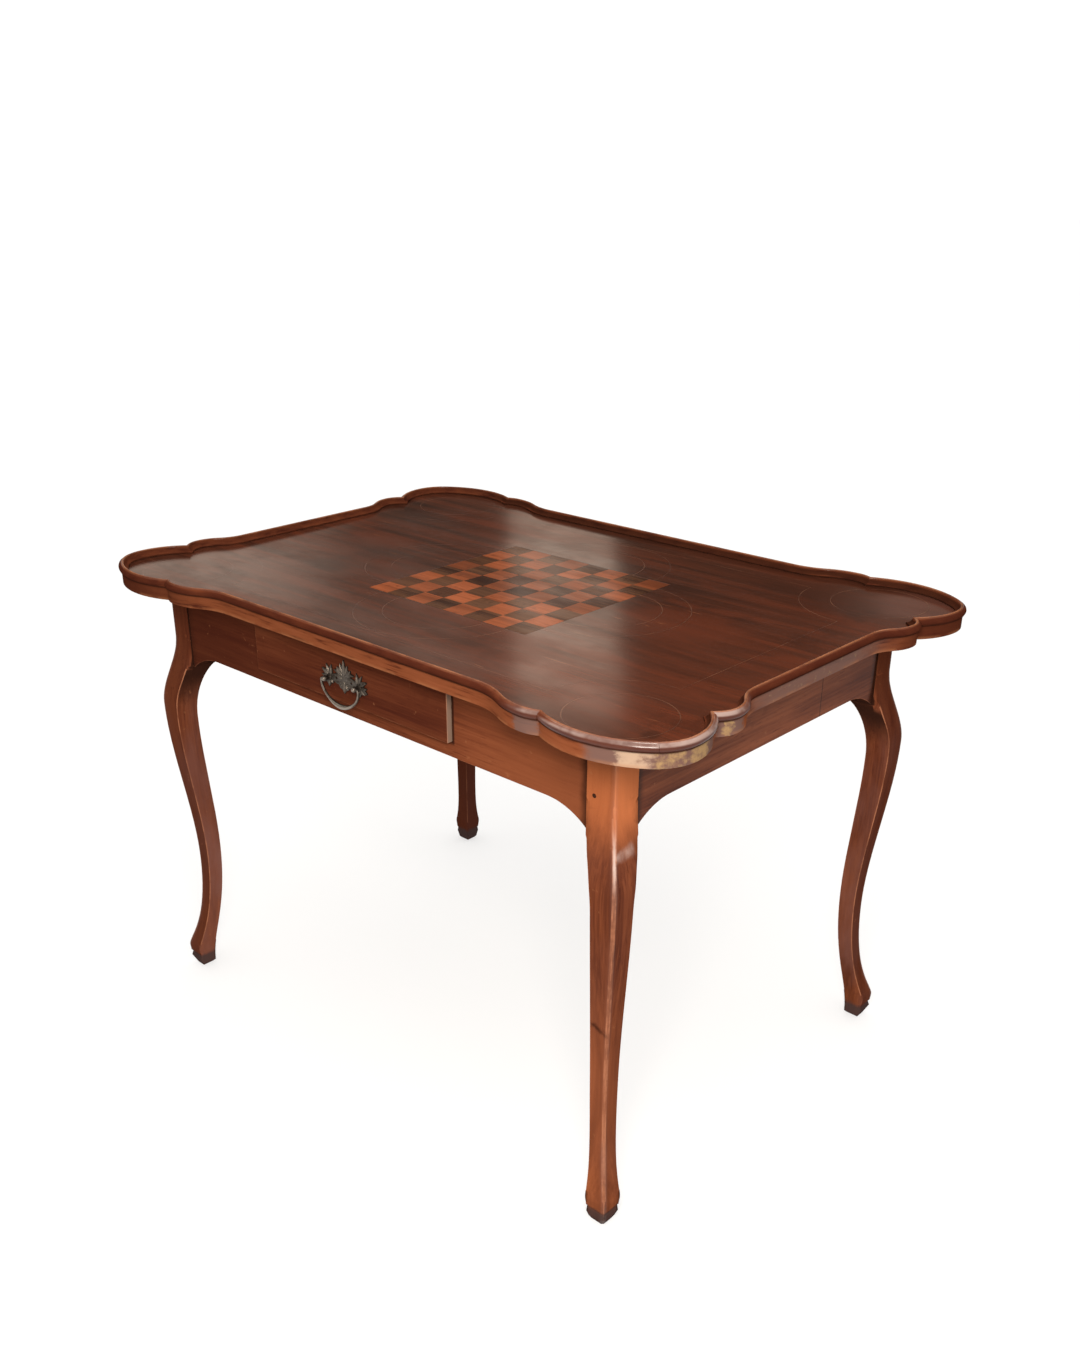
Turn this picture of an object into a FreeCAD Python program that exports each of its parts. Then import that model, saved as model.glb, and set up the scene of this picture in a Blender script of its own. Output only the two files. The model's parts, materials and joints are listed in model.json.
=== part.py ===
import FreeCAD, Part
import math
import os
import re

import Sketcher

# Games table: a lobed top with a planted rim and an inlaid chessboard, four sawn cabriole legs,
# a framed apron and one drawer with a bail handle. Millimetres, +Z up, +X along the long side, the drawer
# faces -Y, and the origin is on the floor under the middle of the top.

# Driving sizes: name, number, meaning
SIZES = (
    # Top
    ("top_height", 740, "floor to the crest of the rim"),
    ("top_length", 1132, "over the rim, along the drawer side"),
    ("top_width", 788, "over the rim, front to back"),
    ("board_thickness", 20, "top board"),
    ("rim_height", 12, "rim above the board"),
    ("rim_seat", 11, "width of the rim on the board"),
    ("rim_overhang", 4, "rim past the board's edge"),
    ("rim_foot", 2.5, "upright foot of the rim inside"),
    ("rim_crest", 4, "width of the rim's crest"),
    ("rim_crest_in", 0.5, "rim's crest, inside the board's edge"),
    ("rim_tip", 5, "widest point of the rim, above the board"),
    ("rim_lip", 2, "underside of the rim, from its widest point"),
    ("rim_joint", 60, "joint in the right rim, behind the middle"),
    ("mitre_reach", 30, "spare length that each mitre cuts off"),
    # Outline of the top, each measured from the board's ends and fronts
    ("lobe_from_end", 114, "peak of a lobe's front, from the end"),
    ("lobe_from_front", 82, "peak of a lobe's end, from the front"),
    ("lobe_corner", 65, "radius of a lobe's corner"),
    ("lobe_end", 100, "radius of a lobe's end"),
    ("cusp_from_end", 178, "cusp on a long edge"),
    ("cusp_from_front", 151, "cusp on a short edge"),
    ("ear_from_end", 201, "peak of the small ear on a long edge"),
    ("ear_from_front", 181, "peak of the small ear on a short edge"),
    ("ear_back_front", 9, "ear on a long edge, behind the lobe's front"),
    ("ear_back_end", 14, "ear on a short edge, behind the lobe's end"),
    ("edge_from_end", 301, "end of the straight long edge"),
    ("edge_from_front", 251, "end of the straight short edge"),
    ("edge_back_front", 34, "straight long edge, behind the lobe's front"),
    ("edge_back_end", 38, "straight short edge, behind the lobe's end"),
    # Inlay
    ("square_side", 40.6, "one square of the chessboard"),
    ("square_gap", 0.15, "glue line round a square"),
    ("inlay_depth", 2, "thickness of the squares"),
    # Legs
    ("overhang_end", 105, "rim past the posts at the ends"),
    ("overhang_front", 69, "rim past the posts at front and back"),
    ("post_side", 44, "square post"),
    ("post_length", 84, "where the knee leaves the post, below the top board"),
    ("knee_drop", 201, "fullest point of the knee, below the top board"),
    ("knee_out", 23, "knee past the post"),
    ("hollow_drop", 226, "inner side of the knee, below the top board"),
    ("hollow_in", 16, "inner side of the knee, inside the post's face"),
    ("ankle_height", 215, "slimmest point in front"),
    ("ankle_out", 2.4, "front of the ankle past the post"),
    ("calf_height", 238, "hollow of the calf behind"),
    ("calf_in", 25.4, "back of the calf, inside the post's face"),
    ("foot_height", 38, "fullest point of the foot"),
    ("foot_out", 28.4, "foot past the post"),
    ("heel_in", 3, "heel, inside the post's face"),
    ("hoof_height", 25, "carved line above the hoof"),
    ("hoof_step", 1.6, "depth of that line"),
    ("hoof_bevel", 8, "bevel round the sole"),
    ("arris_wear", 4, "worn flat on the outer arris"),
    # Apron
    ("apron_height", 106, "depth of the rails"),
    ("rail_thickness", 22, "rails"),
    ("rail_setback", 2, "rails behind the posts' faces"),
    ("bracket_drop", 25, "fall of the rails' ends to the legs"),
    ("bracket_radius", 104, "curve of the brackets"),
    ("tenon_length", 24, "tenons"),
    ("tenon_thickness", 9, "tenons"),
    ("tenon_shoulder", 14, "shoulder above and below a tenon"),
    ("tenon_root", 1, "overlap of a tenon with its rail"),
    ("peg_radius", 3.2, "riven wooden pegs, over their eight corners"),
    ("peg_length", 26, "wooden pegs"),
    ("peg_drop", 80, "pegs below the top board, on the flat of the post"),
    ("peg_gap", 0.05, "glue line round a peg"),
    ("block_side", 24, "glue blocks"),
    ("block_length", 70, "glue blocks"),
    ("block_inset", 60, "glue blocks, from the posts"),
    # Drawer
    ("opening_width", 414, "drawer opening"),
    ("opening_shift", -25, "middle of the opening, from the middle of the rail"),
    ("sill_height", 21, "rail left below the drawer"),
    ("drawer_gap", 1.5, "drawer to opening, each side"),
    ("drawer_head", 2, "drawer front to top board"),
    ("drawer_lift", 0.3, "drawer sides above the runners"),
    ("drawer_proud", 5, "drawer front past the posts' faces"),
    ("drawer_room", 131, "free room between drawer and back rail"),
    ("front_thickness", 24, "drawer front"),
    ("side_thickness", 12, "drawer sides"),
    ("side_drop", 6, "drawer sides below the front's top"),
    ("back_thickness", 12, "drawer back"),
    ("bottom_thickness", 8, "drawer bottom"),
    ("bottom_rise", 8, "drawer bottom above the sides' lower edge"),
    ("groove_depth", 6, "grooves that hold the bottom"),
    ("tail_lap", 14, "front dovetails, into the drawer front"),
    ("tail_wide", 20, "dovetail at its end"),
    ("tail_narrow", 14, "dovetail at its neck"),
    ("runner_width", 40, "runners"),
    ("runner_lap", 24, "runner under the drawer"),
    ("runner_height", 19, "runners"),
    ("guide_width", 12, "guides beside the drawer"),
    ("guide_height", 24, "guides beside the drawer"),
    ("stop_length", 26, "stops behind the drawer"),
    ("stop_width", 18, "stops behind the drawer"),
    ("stop_height", 18, "stops behind the drawer"),
    # Handle
    ("handle_drop", 52, "bail's axis below the top board"),
    ("plate_thickness", 2, "backplate"),
    ("plate_half", 49, "half the backplate's width"),
    ("plate_rise", 33, "tip of the backplate above the axis"),
    ("plate_fall", 17, "point of the backplate below the axis"),
    ("plate_leaf", 5, "unit of the leaves round a handle post"),
    ("plate_piercing", 2.5, "radius of the backplate's piercings"),
    ("post_spread", 32, "handle posts, from the middle"),
    ("post_shank", 5, "side of a handle post's shank"),
    ("post_thread", 2.2, "handle post's filed end, over its eight corners"),
    ("thread_end", 2, "filed end past its nut"),
    ("post_head", 4.4, "handle post's head, over its eight corners"),
    ("post_nose", 3.8, "handle post's head past the bail's axis"),
    ("post_collar", 5.2, "handle post's foot, over its eight corners"),
    ("collar_height", 1.6, "handle post's foot"),
    ("post_button", 2.8, "button on a handle post, over its eight corners"),
    ("button_height", 1.2, "button on a handle post"),
    ("axis_stand", 8, "bail's axis before the backplate"),
    ("shank_gap", 0.1, "shank in its hole"),
    ("nut_side", 13, "square nuts"),
    ("nut_height", 4, "square nuts"),
    ("pin_radius", 1.9, "bail's ends"),
    ("pin_gap", 0.05, "bail's ends in the posts' eyes"),
    ("bail_room", 0.4, "bail's bends outside the posts' heads"),
    ("bail_drop", 34, "bail below its axis"),
    ("bail_elbow", 3, "bend at the bail's ends"),
    ("bail_side", 24, "radius of the bail's sides"),
    ("bail_swell", 3.6, "radius of the bail at its middle"),
)

# Sizes that follow from the driving ones
FOLLOWS = {
    "board_face": "top_height - rim_height",
    "board_under": "board_face - board_thickness",
    "board_half_x": "top_length / 2 - rim_overhang",
    "board_half_y": "top_width / 2 - rim_overhang",
    "chess_half": "4 * square_side",
    "post_x": "top_length / 2 - overhang_end",
    "post_y": "top_width / 2 - overhang_front",
    "knee_rise": "board_under - post_length",
    "knee_height": "board_under - knee_drop",
    "hollow_height": "board_under - hollow_drop",
    "rail_low": "board_under - apron_height",
    "bracket_low": "rail_low - bracket_drop",
    "bracket_reach": "sqrt(bracket_radius * bracket_radius - (bracket_radius - bracket_drop) ^ 2)",
    "rail_half_x": "post_x - post_side",
    "rail_half_y": "post_y - post_side",
    "rail_back_x": "post_x - rail_setback - rail_thickness",
    "rail_back_y": "post_y - rail_setback - rail_thickness",
    "tenon_inset": "(rail_thickness - tenon_thickness) / 2",
    "sill": "rail_low + sill_height",
    "opening_left": "opening_shift - opening_width / 2",
    "opening_right": "opening_shift + opening_width / 2",
    "drawer_left": "opening_left + drawer_gap",
    "drawer_right": "opening_right - drawer_gap",
    "drawer_face": "-post_y - drawer_proud",
    "front_back": "drawer_face + front_thickness",
    "drawer_tail": "rail_back_y - drawer_room",
    "drawer_low": "sill + drawer_lift",
    "drawer_top": "board_under - drawer_head",
    "side_top": "drawer_top - side_drop",
    "bottom_low": "drawer_low + bottom_rise",
    "bottom_top": "bottom_low + bottom_thickness",
    "tail_pitch": "(side_top - bottom_top) / 2",
    "axis_z": "board_under - handle_drop",
    "plate_face": "drawer_face - plate_thickness",
    "axis_y": "plate_face - axis_stand",
    "bail_half": "post_spread + post_head + bail_room + bail_elbow",
}

doc = FreeCAD.newDocument("GamesTable")
sheet = doc.addObject("Spreadsheet::Sheet", "Sizes")
for row, (alias, amount, meaning) in enumerate(SIZES, start=1):
    sheet.set(f"A{row}", meaning)
    sheet.set(f"B{row}", str(amount))
    sheet.setAlias(f"B{row}", alias)
doc.recompute()
NAMES = {alias for alias, amount, meaning in SIZES}
UP = FreeCAD.Vector(0, 0, 1)


def formula(text):
    """Turn a formula in plain names into one that points at the sheet's cells."""
    def cell(match):
        word = match.group()
        if word in FOLLOWS:
            return "(" + formula(FOLLOWS[word]) + ")"
        return "Sizes." + word if word in NAMES else word
    return re.sub(r"[a-z][a-z_]+", cell, text)


def number(text):
    """What a formula in plain names comes to."""
    return float(sheet.evalExpression(formula(text)))


def bind(thing, **formulas):
    """Tie an object's sizes to the sheet."""
    for size, text in formulas.items():
        thing.setExpression(size, formula(text))


def place(thing, x="0", y="0", z="0"):
    """Tie an object's place to the sheet."""
    for axis, text in zip("xyz", (x, y, z)):
        thing.setExpression("Placement.Base." + axis, formula(text))


def shaped(name, shape):
    """An object whose shape is worked out here."""
    thing = doc.addObject("Part::Feature", name)
    thing.Shape = shape
    return thing


def block(name, x, y, z, length, width, height):
    """A squared piece, from its lowest corner."""
    box = doc.addObject("Part::Box", name)
    bind(box, Length=length, Width=width, Height=height)
    place(box, x, y, z)
    return box


def rod(name, radius, height, x, y, z, turn):
    """A round piece, turned from Z by the rotation given."""
    cylinder = doc.addObject("Part::Cylinder", name)
    bind(cylinder, Radius=radius, Height=height)
    cylinder.Placement.Rotation = turn
    place(cylinder, x, y, z)
    return cylinder


def prism(name, sides, radius, height, x, y, z, turn):
    """A many-sided piece, turned from Z by the rotation given."""
    solid = doc.addObject("Part::Prism", name)
    solid.Polygon = sides
    bind(solid, Circumradius=radius, Height=height)
    solid.Placement.Rotation = turn
    place(solid, x, y, z)
    return solid


def extrusion(name, base, direction, forward, backward="0"):
    """A drawn shape pushed along a direction."""
    solid = doc.addObject("Part::Extrusion", name)
    solid.Base = base
    solid.DirMode = "Custom"
    solid.Dir = direction
    solid.Solid = True
    bind(solid, LengthFwd=forward, LengthRev=backward)
    return solid


def group(name, pieces):
    """Separate solids under one name."""
    compound = doc.addObject("Part::Compound", name)
    compound.Links = pieces
    return compound


def cut(name, base, *tools):
    """A piece with others cut out of it, one after another."""
    for count, tool in enumerate(tools, start=1):
        last = count == len(tools)
        result = doc.addObject("Part::Cut", name if last else f"{name}_cut_{count}")
        result.Base = base
        result.Tool = tool
        base = result
    return base


def mirrored(name, source, normal):
    """A piece's reflection in a plane through the table's middle."""
    mirror = doc.addObject("Part::Mirroring", name)
    mirror.Source = source
    mirror.Normal = normal
    return mirror


def drawn(body, plane, corners, name, lift=None):
    """A closed outline on one of a body's planes. A corner is x and y, and for an arc to the next corner
    also its radius and the side of its centre, 1 to the left of the way and -1 to the right."""
    sketch = body.newObject("Sketcher::SketchObject", name)
    support = [feature for feature in body.Origin.OriginFeatures if feature.Role == plane]
    sketch.AttachmentSupport = [(support[0], "")]
    sketch.MapMode = "FlatFace"
    if lift:
        sketch.setExpression("AttachmentOffset.Base.z", formula(lift))
    points = [FreeCAD.Vector(number(corner[0]), number(corner[1]), 0) for corner in corners]
    ends = []
    for here, corner in enumerate(corners):
        start, stop = points[here], points[(here + 1) % len(points)]
        if len(corner) == 2:
            edge = sketch.addGeometry(Part.LineSegment(start, stop))
            ends.append((edge, 1, 2))
            continue
        radius, side = number(corner[2]), corner[3]
        half = (stop - start) / 2
        rise = math.sqrt(radius ** 2 - half.Length ** 2)
        centre = start + half + UP.cross(half).normalize() * rise * side
        angles = [math.atan2(point.y - centre.y, point.x - centre.x) for point in (start, stop)]
        first, last = angles if side > 0 else reversed(angles)
        edge = sketch.addGeometry(Part.ArcOfCircle(Part.Circle(centre, UP, radius), first, last))
        ends.append((edge, 1, 2) if side > 0 else (edge, 2, 1))
        index = sketch.addConstraint(Sketcher.Constraint("Radius", edge, radius))
        sketch.setExpression(f"Constraints[{index}]", formula(corner[2]))
    for here, corner in enumerate(corners):
        edge, first, last = ends[here]
        onward, following, unused = ends[(here + 1) % len(ends)]
        sketch.addConstraint(Sketcher.Constraint("Coincident", edge, last, onward, following))
        for kind, amount, text in (
            ("DistanceX", points[here].x, corner[0]),
            ("DistanceY", points[here].y, corner[1]),
        ):
            index = sketch.addConstraint(Sketcher.Constraint(kind, -1, 1, edge, first, amount))
            sketch.setExpression(f"Constraints[{index}]", formula(text))
    return sketch


def padded(body, sketch, depth, name):
    """Give a drawn outline its thickness."""
    pad = body.newObject("PartDesign::Pad", name)
    pad.Profile = sketch
    bind(pad, Length=depth)
    return pad


def board(name, plane, corners, depth, x="0", y="0", z="0"):
    """A flat piece with a drawn outline."""
    body = doc.addObject("PartDesign::Body", name)
    padded(body, drawn(body, plane, corners, name + "_outline"), depth, name + "_pad")
    place(body, x, y, z)
    return body


# Outline of the top board

def arc_between(start, stop, centre):
    """Start, middle and end of the short arc round a centre."""
    toward = (start - centre) + (stop - centre)
    return start, centre + toward.normalize() * (start - centre).Length, stop


def quarter():
    """Edges of the outline's +X +Y quarter, from the short side's middle to the long side's middle."""
    def point(x, y):
        return FreeCAD.Vector(x, y, number("board_face"))
    half_x, half_y = number("board_half_x"), number("board_half_y")
    short_x, long_y = half_x - number("edge_back_end"), half_y - number("edge_back_front")
    short_end = point(short_x, half_y - number("edge_from_front"))
    long_end = point(half_x - number("edge_from_end"), long_y)
    short_ear = point(half_x - number("ear_back_end"), half_y - number("ear_from_front"))
    long_ear = point(half_x - number("ear_from_end"), half_y - number("ear_back_front"))
    corner, end = number("lobe_corner"), number("lobe_end")
    wide, deep = number("lobe_from_end"), number("lobe_from_front")
    # The lobe's front is the arc that runs smoothly into its corner
    front = (wide ** 2 + deep ** 2 - 2 * wide * corner) / (2 * (deep - corner))
    end_centre = point(half_x - end, half_y - deep)
    corner_centre = point(half_x - corner, half_y - deep)
    front_centre = point(half_x - wide, half_y - front)
    peak = point(half_x, half_y - deep)
    middle = corner_centre + point(corner, corner).sub(point(0, 0)) / math.sqrt(2)
    meeting = corner_centre + (corner_centre - front_centre).normalize() * corner
    cusp_y = half_y - number("cusp_from_front")
    short_cusp = point(end_centre.x + math.sqrt(end ** 2 - (end_centre.y - cusp_y) ** 2), cusp_y)
    cusp_x = half_x - number("cusp_from_end")
    long_cusp = point(cusp_x, front_centre.y + math.sqrt(front ** 2 - (front_centre.x - cusp_x) ** 2))

    def ogee(level, ear, out):
        """Two equal arcs from a straight edge to an ear, out being the way off the table."""
        across = (ear - level).dot(out)
        radius = (ear - level).Length ** 2 / (4 * across)
        waist = (level + ear) / 2
        return [
            arc_between(level, waist, level + out * radius),
            arc_between(waist, ear, ear - out * radius),
        ]

    def ear_end(ear, cusp, out):
        """The rounded end of an ear, down to its cusp."""
        fall = (ear - cusp).dot(out)
        radius = (ear - cusp).Length ** 2 / (2 * fall)
        return arc_between(ear, cusp, ear - out * radius)
    along_x, along_y = FreeCAD.Vector(1, 0, 0), FreeCAD.Vector(0, 1, 0)
    edges = [(point(short_x, 0), short_end)] + ogee(short_end, short_ear, along_x)
    edges.append(ear_end(short_ear, short_cusp, along_x))
    edges.append(arc_between(short_cusp, peak, end_centre))
    edges.append(arc_between(peak, middle, corner_centre))
    edges.append(arc_between(middle, meeting, corner_centre))
    edges.append(arc_between(meeting, long_cusp, front_centre))
    edges.append(ear_end(long_ear, long_cusp, along_y)[::-1])
    edges += [edge[::-1] for edge in reversed(ogee(long_end, long_ear, along_y))]
    edges.append((long_end, point(0, long_y)))
    return edges


def flipped(edges, across_x, across_y):
    """The edges reflected, and turned round where that keeps them anticlockwise."""
    result = [tuple(FreeCAD.Vector(p.x * across_x, p.y * across_y, p.z) for p in edge) for edge in edges]
    if across_x * across_y < 0:
        result = [edge[::-1] for edge in reversed(result)]
    return result


def curve(edge):
    """The line or arc of one edge."""
    return Part.LineSegment(*edge) if len(edge) == 2 else Part.Arc(*edge)


def heading(edge, at_end):
    """Way of travel at one end of an edge."""
    line = curve(edge)
    tangent = line.tangent(line.LastParameter if at_end else line.FirstParameter)[0]
    return tangent.normalize()


QUARTERS = {
    "back_right": flipped(quarter(), 1, 1),
    "back_left": flipped(quarter(), -1, 1),
    "front_left": flipped(quarter(), -1, -1),
    "front_right": flipped(quarter(), 1, -1),
}


# Inlay of the top

def squares(name, parity):
    """The squares of one colour."""
    pieces = []
    for column in range(8):
        for rank in range(8):
            if (column + rank) % 2 != parity:
                continue
            pieces.append(block(
                f"{name}_{column}_{rank}",
                f"{column - 4} * square_side + square_gap / 2",
                f"{rank - 4} * square_side + square_gap / 2",
                "board_face - inlay_depth",
                "square_side - square_gap", "square_side - square_gap", "inlay_depth"))
    return group(name, pieces)


light_squares = squares("light_squares", 0)
dark_squares = squares("dark_squares", 1)

# Top board

outline = [edge for edges in QUARTERS.values() for edge in edges]
board_outline = shaped("board_outline", Part.Wire([curve(edge).toShape() for edge in outline]))
board_blank = extrusion("board_blank", board_outline, -UP, "board_thickness")
chess_recess = block("chess_recess", "-chess_half", "-chess_half", "board_face - inlay_depth",
                     "2 * chess_half", "2 * chess_half", "inlay_depth")
top_board = cut("top_board", board_blank, chess_recess)


# Rim

def rim_section():
    """The rim's section: out is +X, up is +Y, and the board's upper edge is the origin."""
    seat, nose, rise = number("rim_seat"), number("rim_overhang"), number("rim_height")
    crest_out = -number("rim_crest_in")

    def point(out, up):
        return FreeCAD.Vector(out, up, 0)
    corners = [
        point(-seat, 0),
        point(-seat, number("rim_foot")),
        point(crest_out - number("rim_crest"), rise),
        point(crest_out, rise),
        point(nose, number("rim_tip")),
        point(nose - number("rim_lip"), 0),
    ]
    return Part.makePolygon(corners + corners[:1])


def lengthened(edge, at_end):
    """An arc carried on past one end, for a mitre."""
    arc = curve(edge).toShape()
    more = number("mitre_reach") / arc.Curve.Radius
    first, last = arc.ParameterRange
    span = (first, last + more) if at_end else (first - more, last)
    return tuple(arc.Curve.value(span[0] + (span[1] - span[0]) * share) for share in (0, 0.5, 1))


def mitre(name, before, after, keep_before):
    """The block that cuts a length at the cusp between two edges."""
    along = (heading(before, True) + heading(after, False)).normalize()
    reach = number("mitre_reach")
    tool = doc.addObject("Part::Box", name)
    bind(tool, Length="2 * mitre_reach", Width="2 * mitre_reach", Height="2 * rim_height")
    start = before[-1] - UP.cross(along) * reach - UP * number("rim_height") / 2
    if not keep_before:
        start = start - along * 2 * reach
    tool.Placement = FreeCAD.Placement(start, FreeCAD.Rotation(FreeCAD.Vector(1, 0, 0), along))
    return tool


def rim_run(edge):
    """The rim along one edge: pushed along a line, or turned about an arc's centre."""
    way = heading(edge, False)
    section = Part.Face(rim_section())
    section.Placement = FreeCAD.Placement(edge[0], FreeCAD.Rotation(way.cross(UP), UP, -way, "XYZ"))
    if len(edge) == 2:
        return section.extrude(edge[1] - edge[0])
    arc = curve(edge).toShape()
    first, last = arc.ParameterRange
    return section.revolve(arc.Curve.Center, arc.Curve.Axis, math.degrees(last - first))


def rim_length(name, edges, before=None, after=None):
    """One length of rim along some edges. A neighbour given at either end is met by a mitre."""
    path = list(edges)
    tools = []
    if before:
        tools.append(mitre(name + "_first_mitre", before, edges[0], False))
        path[0] = lengthened(edges[0], False)
    if after:
        tools.append(mitre(name + "_last_mitre", edges[-1], after, True))
        path[-1] = lengthened(edges[-1], True)
    runs = [rim_run(edge) for edge in path]
    moulding = shaped(name + "_moulding", runs[0].multiFuse(runs[1:]).removeSplitter())
    return cut(name, moulding, *tools)


def split(edge, y):
    """A straight edge along Y cut in two."""
    middle = FreeCAD.Vector(edge[0].x, y, edge[0].z)
    return (edge[0], middle), (middle, edge[1])


def rim():
    """All the lengths: the four sides between the cusps, and two on each lobe. The edges of a quarter are a
    straight, an ogee in two, an ear's end, the four of the lobe, and the same three in turn."""
    ends, fronts = [], []
    for count, (name, edges) in enumerate(QUARTERS.items()):
        first = rim_length(f"rim_lobe_{name}_first", edges[4:6], before=edges[3])
        second = rim_length(f"rim_lobe_{name}_second", edges[6:8], after=edges[8])
        # A quarter starts on a short side or on a long one, turn about
        ends.append(second if count % 2 else first)
        fronts.append(first if count % 2 else second)
    lengths = [group("rim_lobe_ends", ends), group("rim_lobe_fronts", fronts)]
    back_right, back_left, front_left, front_right = QUARTERS.values()
    for name, start, stop in (
        ("rim_back", back_right, back_left),
        ("rim_left", back_left, front_left),
        ("rim_front", front_left, front_right),
    ):
        lengths.append(rim_length(name, start[8:] + stop[:4], start[7], stop[4]))
    near, far = split(back_right[0], number("rim_joint"))
    lengths.append(group("rim_right", [
        rim_length("rim_right_front", front_right[8:] + [near], before=front_right[7]),
        rim_length("rim_right_back", [far] + back_right[1:4], after=back_right[4]),
    ]))
    return lengths


rim_lengths = rim()


# Legs

def swing(start, stop, leave, arrive):
    """A smooth S from one upright point of the leg's side to another. Leave and arrive are the shares of
    the height over which it holds on to each of them."""
    hold = FreeCAD.Vector(0, stop.y - start.y, 0)
    bezier = Part.BezierCurve()
    bezier.setPoles([start, start + hold * leave, stop - hold * arrive, stop])
    return bezier


def leg_front(widen, pull):
    """The outer edge of the sawyer's pattern, from the sole up: X is outwards from the post's face, Y is
    height. Widen stretches it sideways, and pull draws it in."""
    def point(out, height):
        return FreeCAD.Vector(out * widen - pull, height, 0)
    hoof, bevel, step = number("hoof_height"), number("hoof_bevel"), number("hoof_step")
    out = number("foot_out")
    toe = point(out - bevel, 0)
    wall = point(out - step / 2, bevel * 2)
    line = point(out - step * 2, hoof)
    brow = point(out - step / 2, hoof + step)
    foot = point(out, number("foot_height"))
    ankle = point(number("ankle_out"), number("ankle_height"))
    knee = point(number("knee_out"), number("knee_height"))
    rise = point(0, number("knee_rise"))
    return [
        Part.LineSegment(toe, wall),
        Part.LineSegment(wall, line),
        Part.LineSegment(line, brow),
        swing(brow, foot, 1 / 3, 1 / 3),
        swing(foot, ankle, 0.1, 0.75),
        swing(ankle, knee, 1 / 3, 1 / 3),
        swing(knee, rise, 1 / 3, 1 / 3),
        Part.LineSegment(rise, point(0, number("board_under"))),
    ]


def leg_back():
    """The inner edge of the pattern, from the top down to the heel and the tread."""
    def point(out, height):
        return FreeCAD.Vector(out, height, 0)
    post = -number("post_side")
    fork = point(post, number("bracket_low"))
    hollow = point(-number("hollow_in"), number("hollow_height"))
    calf = point(-number("calf_in"), number("calf_height"))
    heel = point(-number("heel_in"), number("hoof_bevel") / 2)
    tread = point(number("hoof_bevel") / 2 - number("heel_in"), 0)
    drop = (fork.y - hollow.y) / 2
    inner = Part.BezierCurve()
    inner.setPoles([fork, fork + point(drop / 4, -drop / 4), hollow + point(0, drop), hollow])
    return [
        Part.LineSegment(point(post, number("board_under")), fork),
        inner,
        swing(hollow, calf, 1 / 3, 1 / 3),
        swing(calf, heel, 0.55, 0.25),
        Part.LineSegment(heel, tread),
    ]


def leg_template(front, back):
    """A pattern closed along the top and the sole."""
    top = Part.LineSegment(front[-1].EndPoint, back[0].StartPoint)
    sole = Part.LineSegment(back[-1].EndPoint, front[0].StartPoint)
    return Part.Wire([edge.toShape() for edge in [*front, top, *back, sole]])


def leg_blank():
    """The back right leg: the pattern sawn through the post both ways, then the outer arris worn flat."""
    post = FreeCAD.Vector(number("post_x"), number("post_y"), 0)
    inside = FreeCAD.Vector(-2 * number("post_side"), 0, 0)
    arris_back = [Part.LineSegment(inside + UP.cross(FreeCAD.Vector(number("board_under"), 0, 0)), inside)]
    arris_front = leg_front(math.sqrt(2), number("arris_wear") / 2)
    ways = {
        "end": (FreeCAD.Vector(1, 0, 0), leg_front(1, 0), leg_back()),
        "front": (FreeCAD.Vector(0, 1, 0), leg_front(1, 0), leg_back()),
        "arris": (FreeCAD.Vector(1, 1, 0).normalize(), arris_front, arris_back),
    }
    sawn = []
    for way, (out, front, back) in ways.items():
        pattern = shaped(f"leg_pattern_{way}", leg_template(front, back))
        across = out.cross(UP)
        pattern.Placement = FreeCAD.Placement(post, FreeCAD.Rotation(out, UP, across, "XYZ"))
        sawn.append(extrusion(f"leg_sawn_{way}", pattern, across, "2 * post_side", "2 * post_side"))
    blank = doc.addObject("Part::MultiCommon", "leg_blank")
    blank.Shapes = sawn
    return blank


# Rails

def rail_elevation(half, notch=()):
    """A rail's face: straight below, falling to the legs in a bracket at each end."""
    return [
        (f"-({half})", "bracket_low", "bracket_radius", -1),
        (f"bracket_reach - ({half})", "rail_low"),
        (f"{half} - bracket_reach", "rail_low", "bracket_radius", -1),
        (f"{half}", "bracket_low"),
        (f"{half}", "board_under"),
        *notch,
        (f"-({half})", "board_under"),
    ]


def rail(name, plane, half, offset, notch=()):
    """A rail with a tenon at each end. Offset is where its pad starts along the plane's normal."""
    body = doc.addObject("PartDesign::Body", name + "_blank")
    face = drawn(body, plane, rail_elevation(half, notch), name + "_face", offset)
    padded(body, face, "rail_thickness", name + "_board")
    for side, sign in (("left", "-"), ("right", "")):
        inner, outer = f"{sign}({half} - tenon_root)", f"{sign}({half} + tenon_length)"
        low, high = "bracket_low + tenon_shoulder", "board_under - tenon_shoulder"
        corners = [(inner, low), (outer, low), (outer, high), (inner, high)]
        tenon = drawn(body, plane, corners, f"{name}_tenon_{side}", f"{offset} + tenon_inset")
        padded(body, tenon, "tenon_thickness", f"{name}_tenon_{side}_pad")
    return body


OPENING = (
    ("opening_right", "board_under"),
    ("opening_right", "sill"),
    ("opening_left", "sill"),
    ("opening_left", "board_under"),
)
# The normal of the XZ plane points to -Y
rail_blanks = {
    "front": rail("front_rail", "XZ_Plane", "rail_half_x", "rail_back_y", OPENING),
    "back": rail("back_rail", "XZ_Plane", "rail_half_x", "-(post_y - rail_setback)"),
    "left": rail("left_rail", "YZ_Plane", "rail_half_y", "-(post_x - rail_setback)"),
    "right": rail("right_rail", "YZ_Plane", "rail_half_y", "rail_back_x"),
}

# Pegs through the joints, one to each tenon, driven in from outside

INTO_FRONT = FreeCAD.Rotation(FreeCAD.Vector(1, 0, 0), -90)
INTO_BACK = FreeCAD.Rotation(FreeCAD.Vector(1, 0, 0), 90)
INTO_LEFT = FreeCAD.Rotation(FreeCAD.Vector(0, 1, 0), 90)
INTO_RIGHT = FreeCAD.Rotation(FreeCAD.Vector(0, 1, 0), -90)


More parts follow.
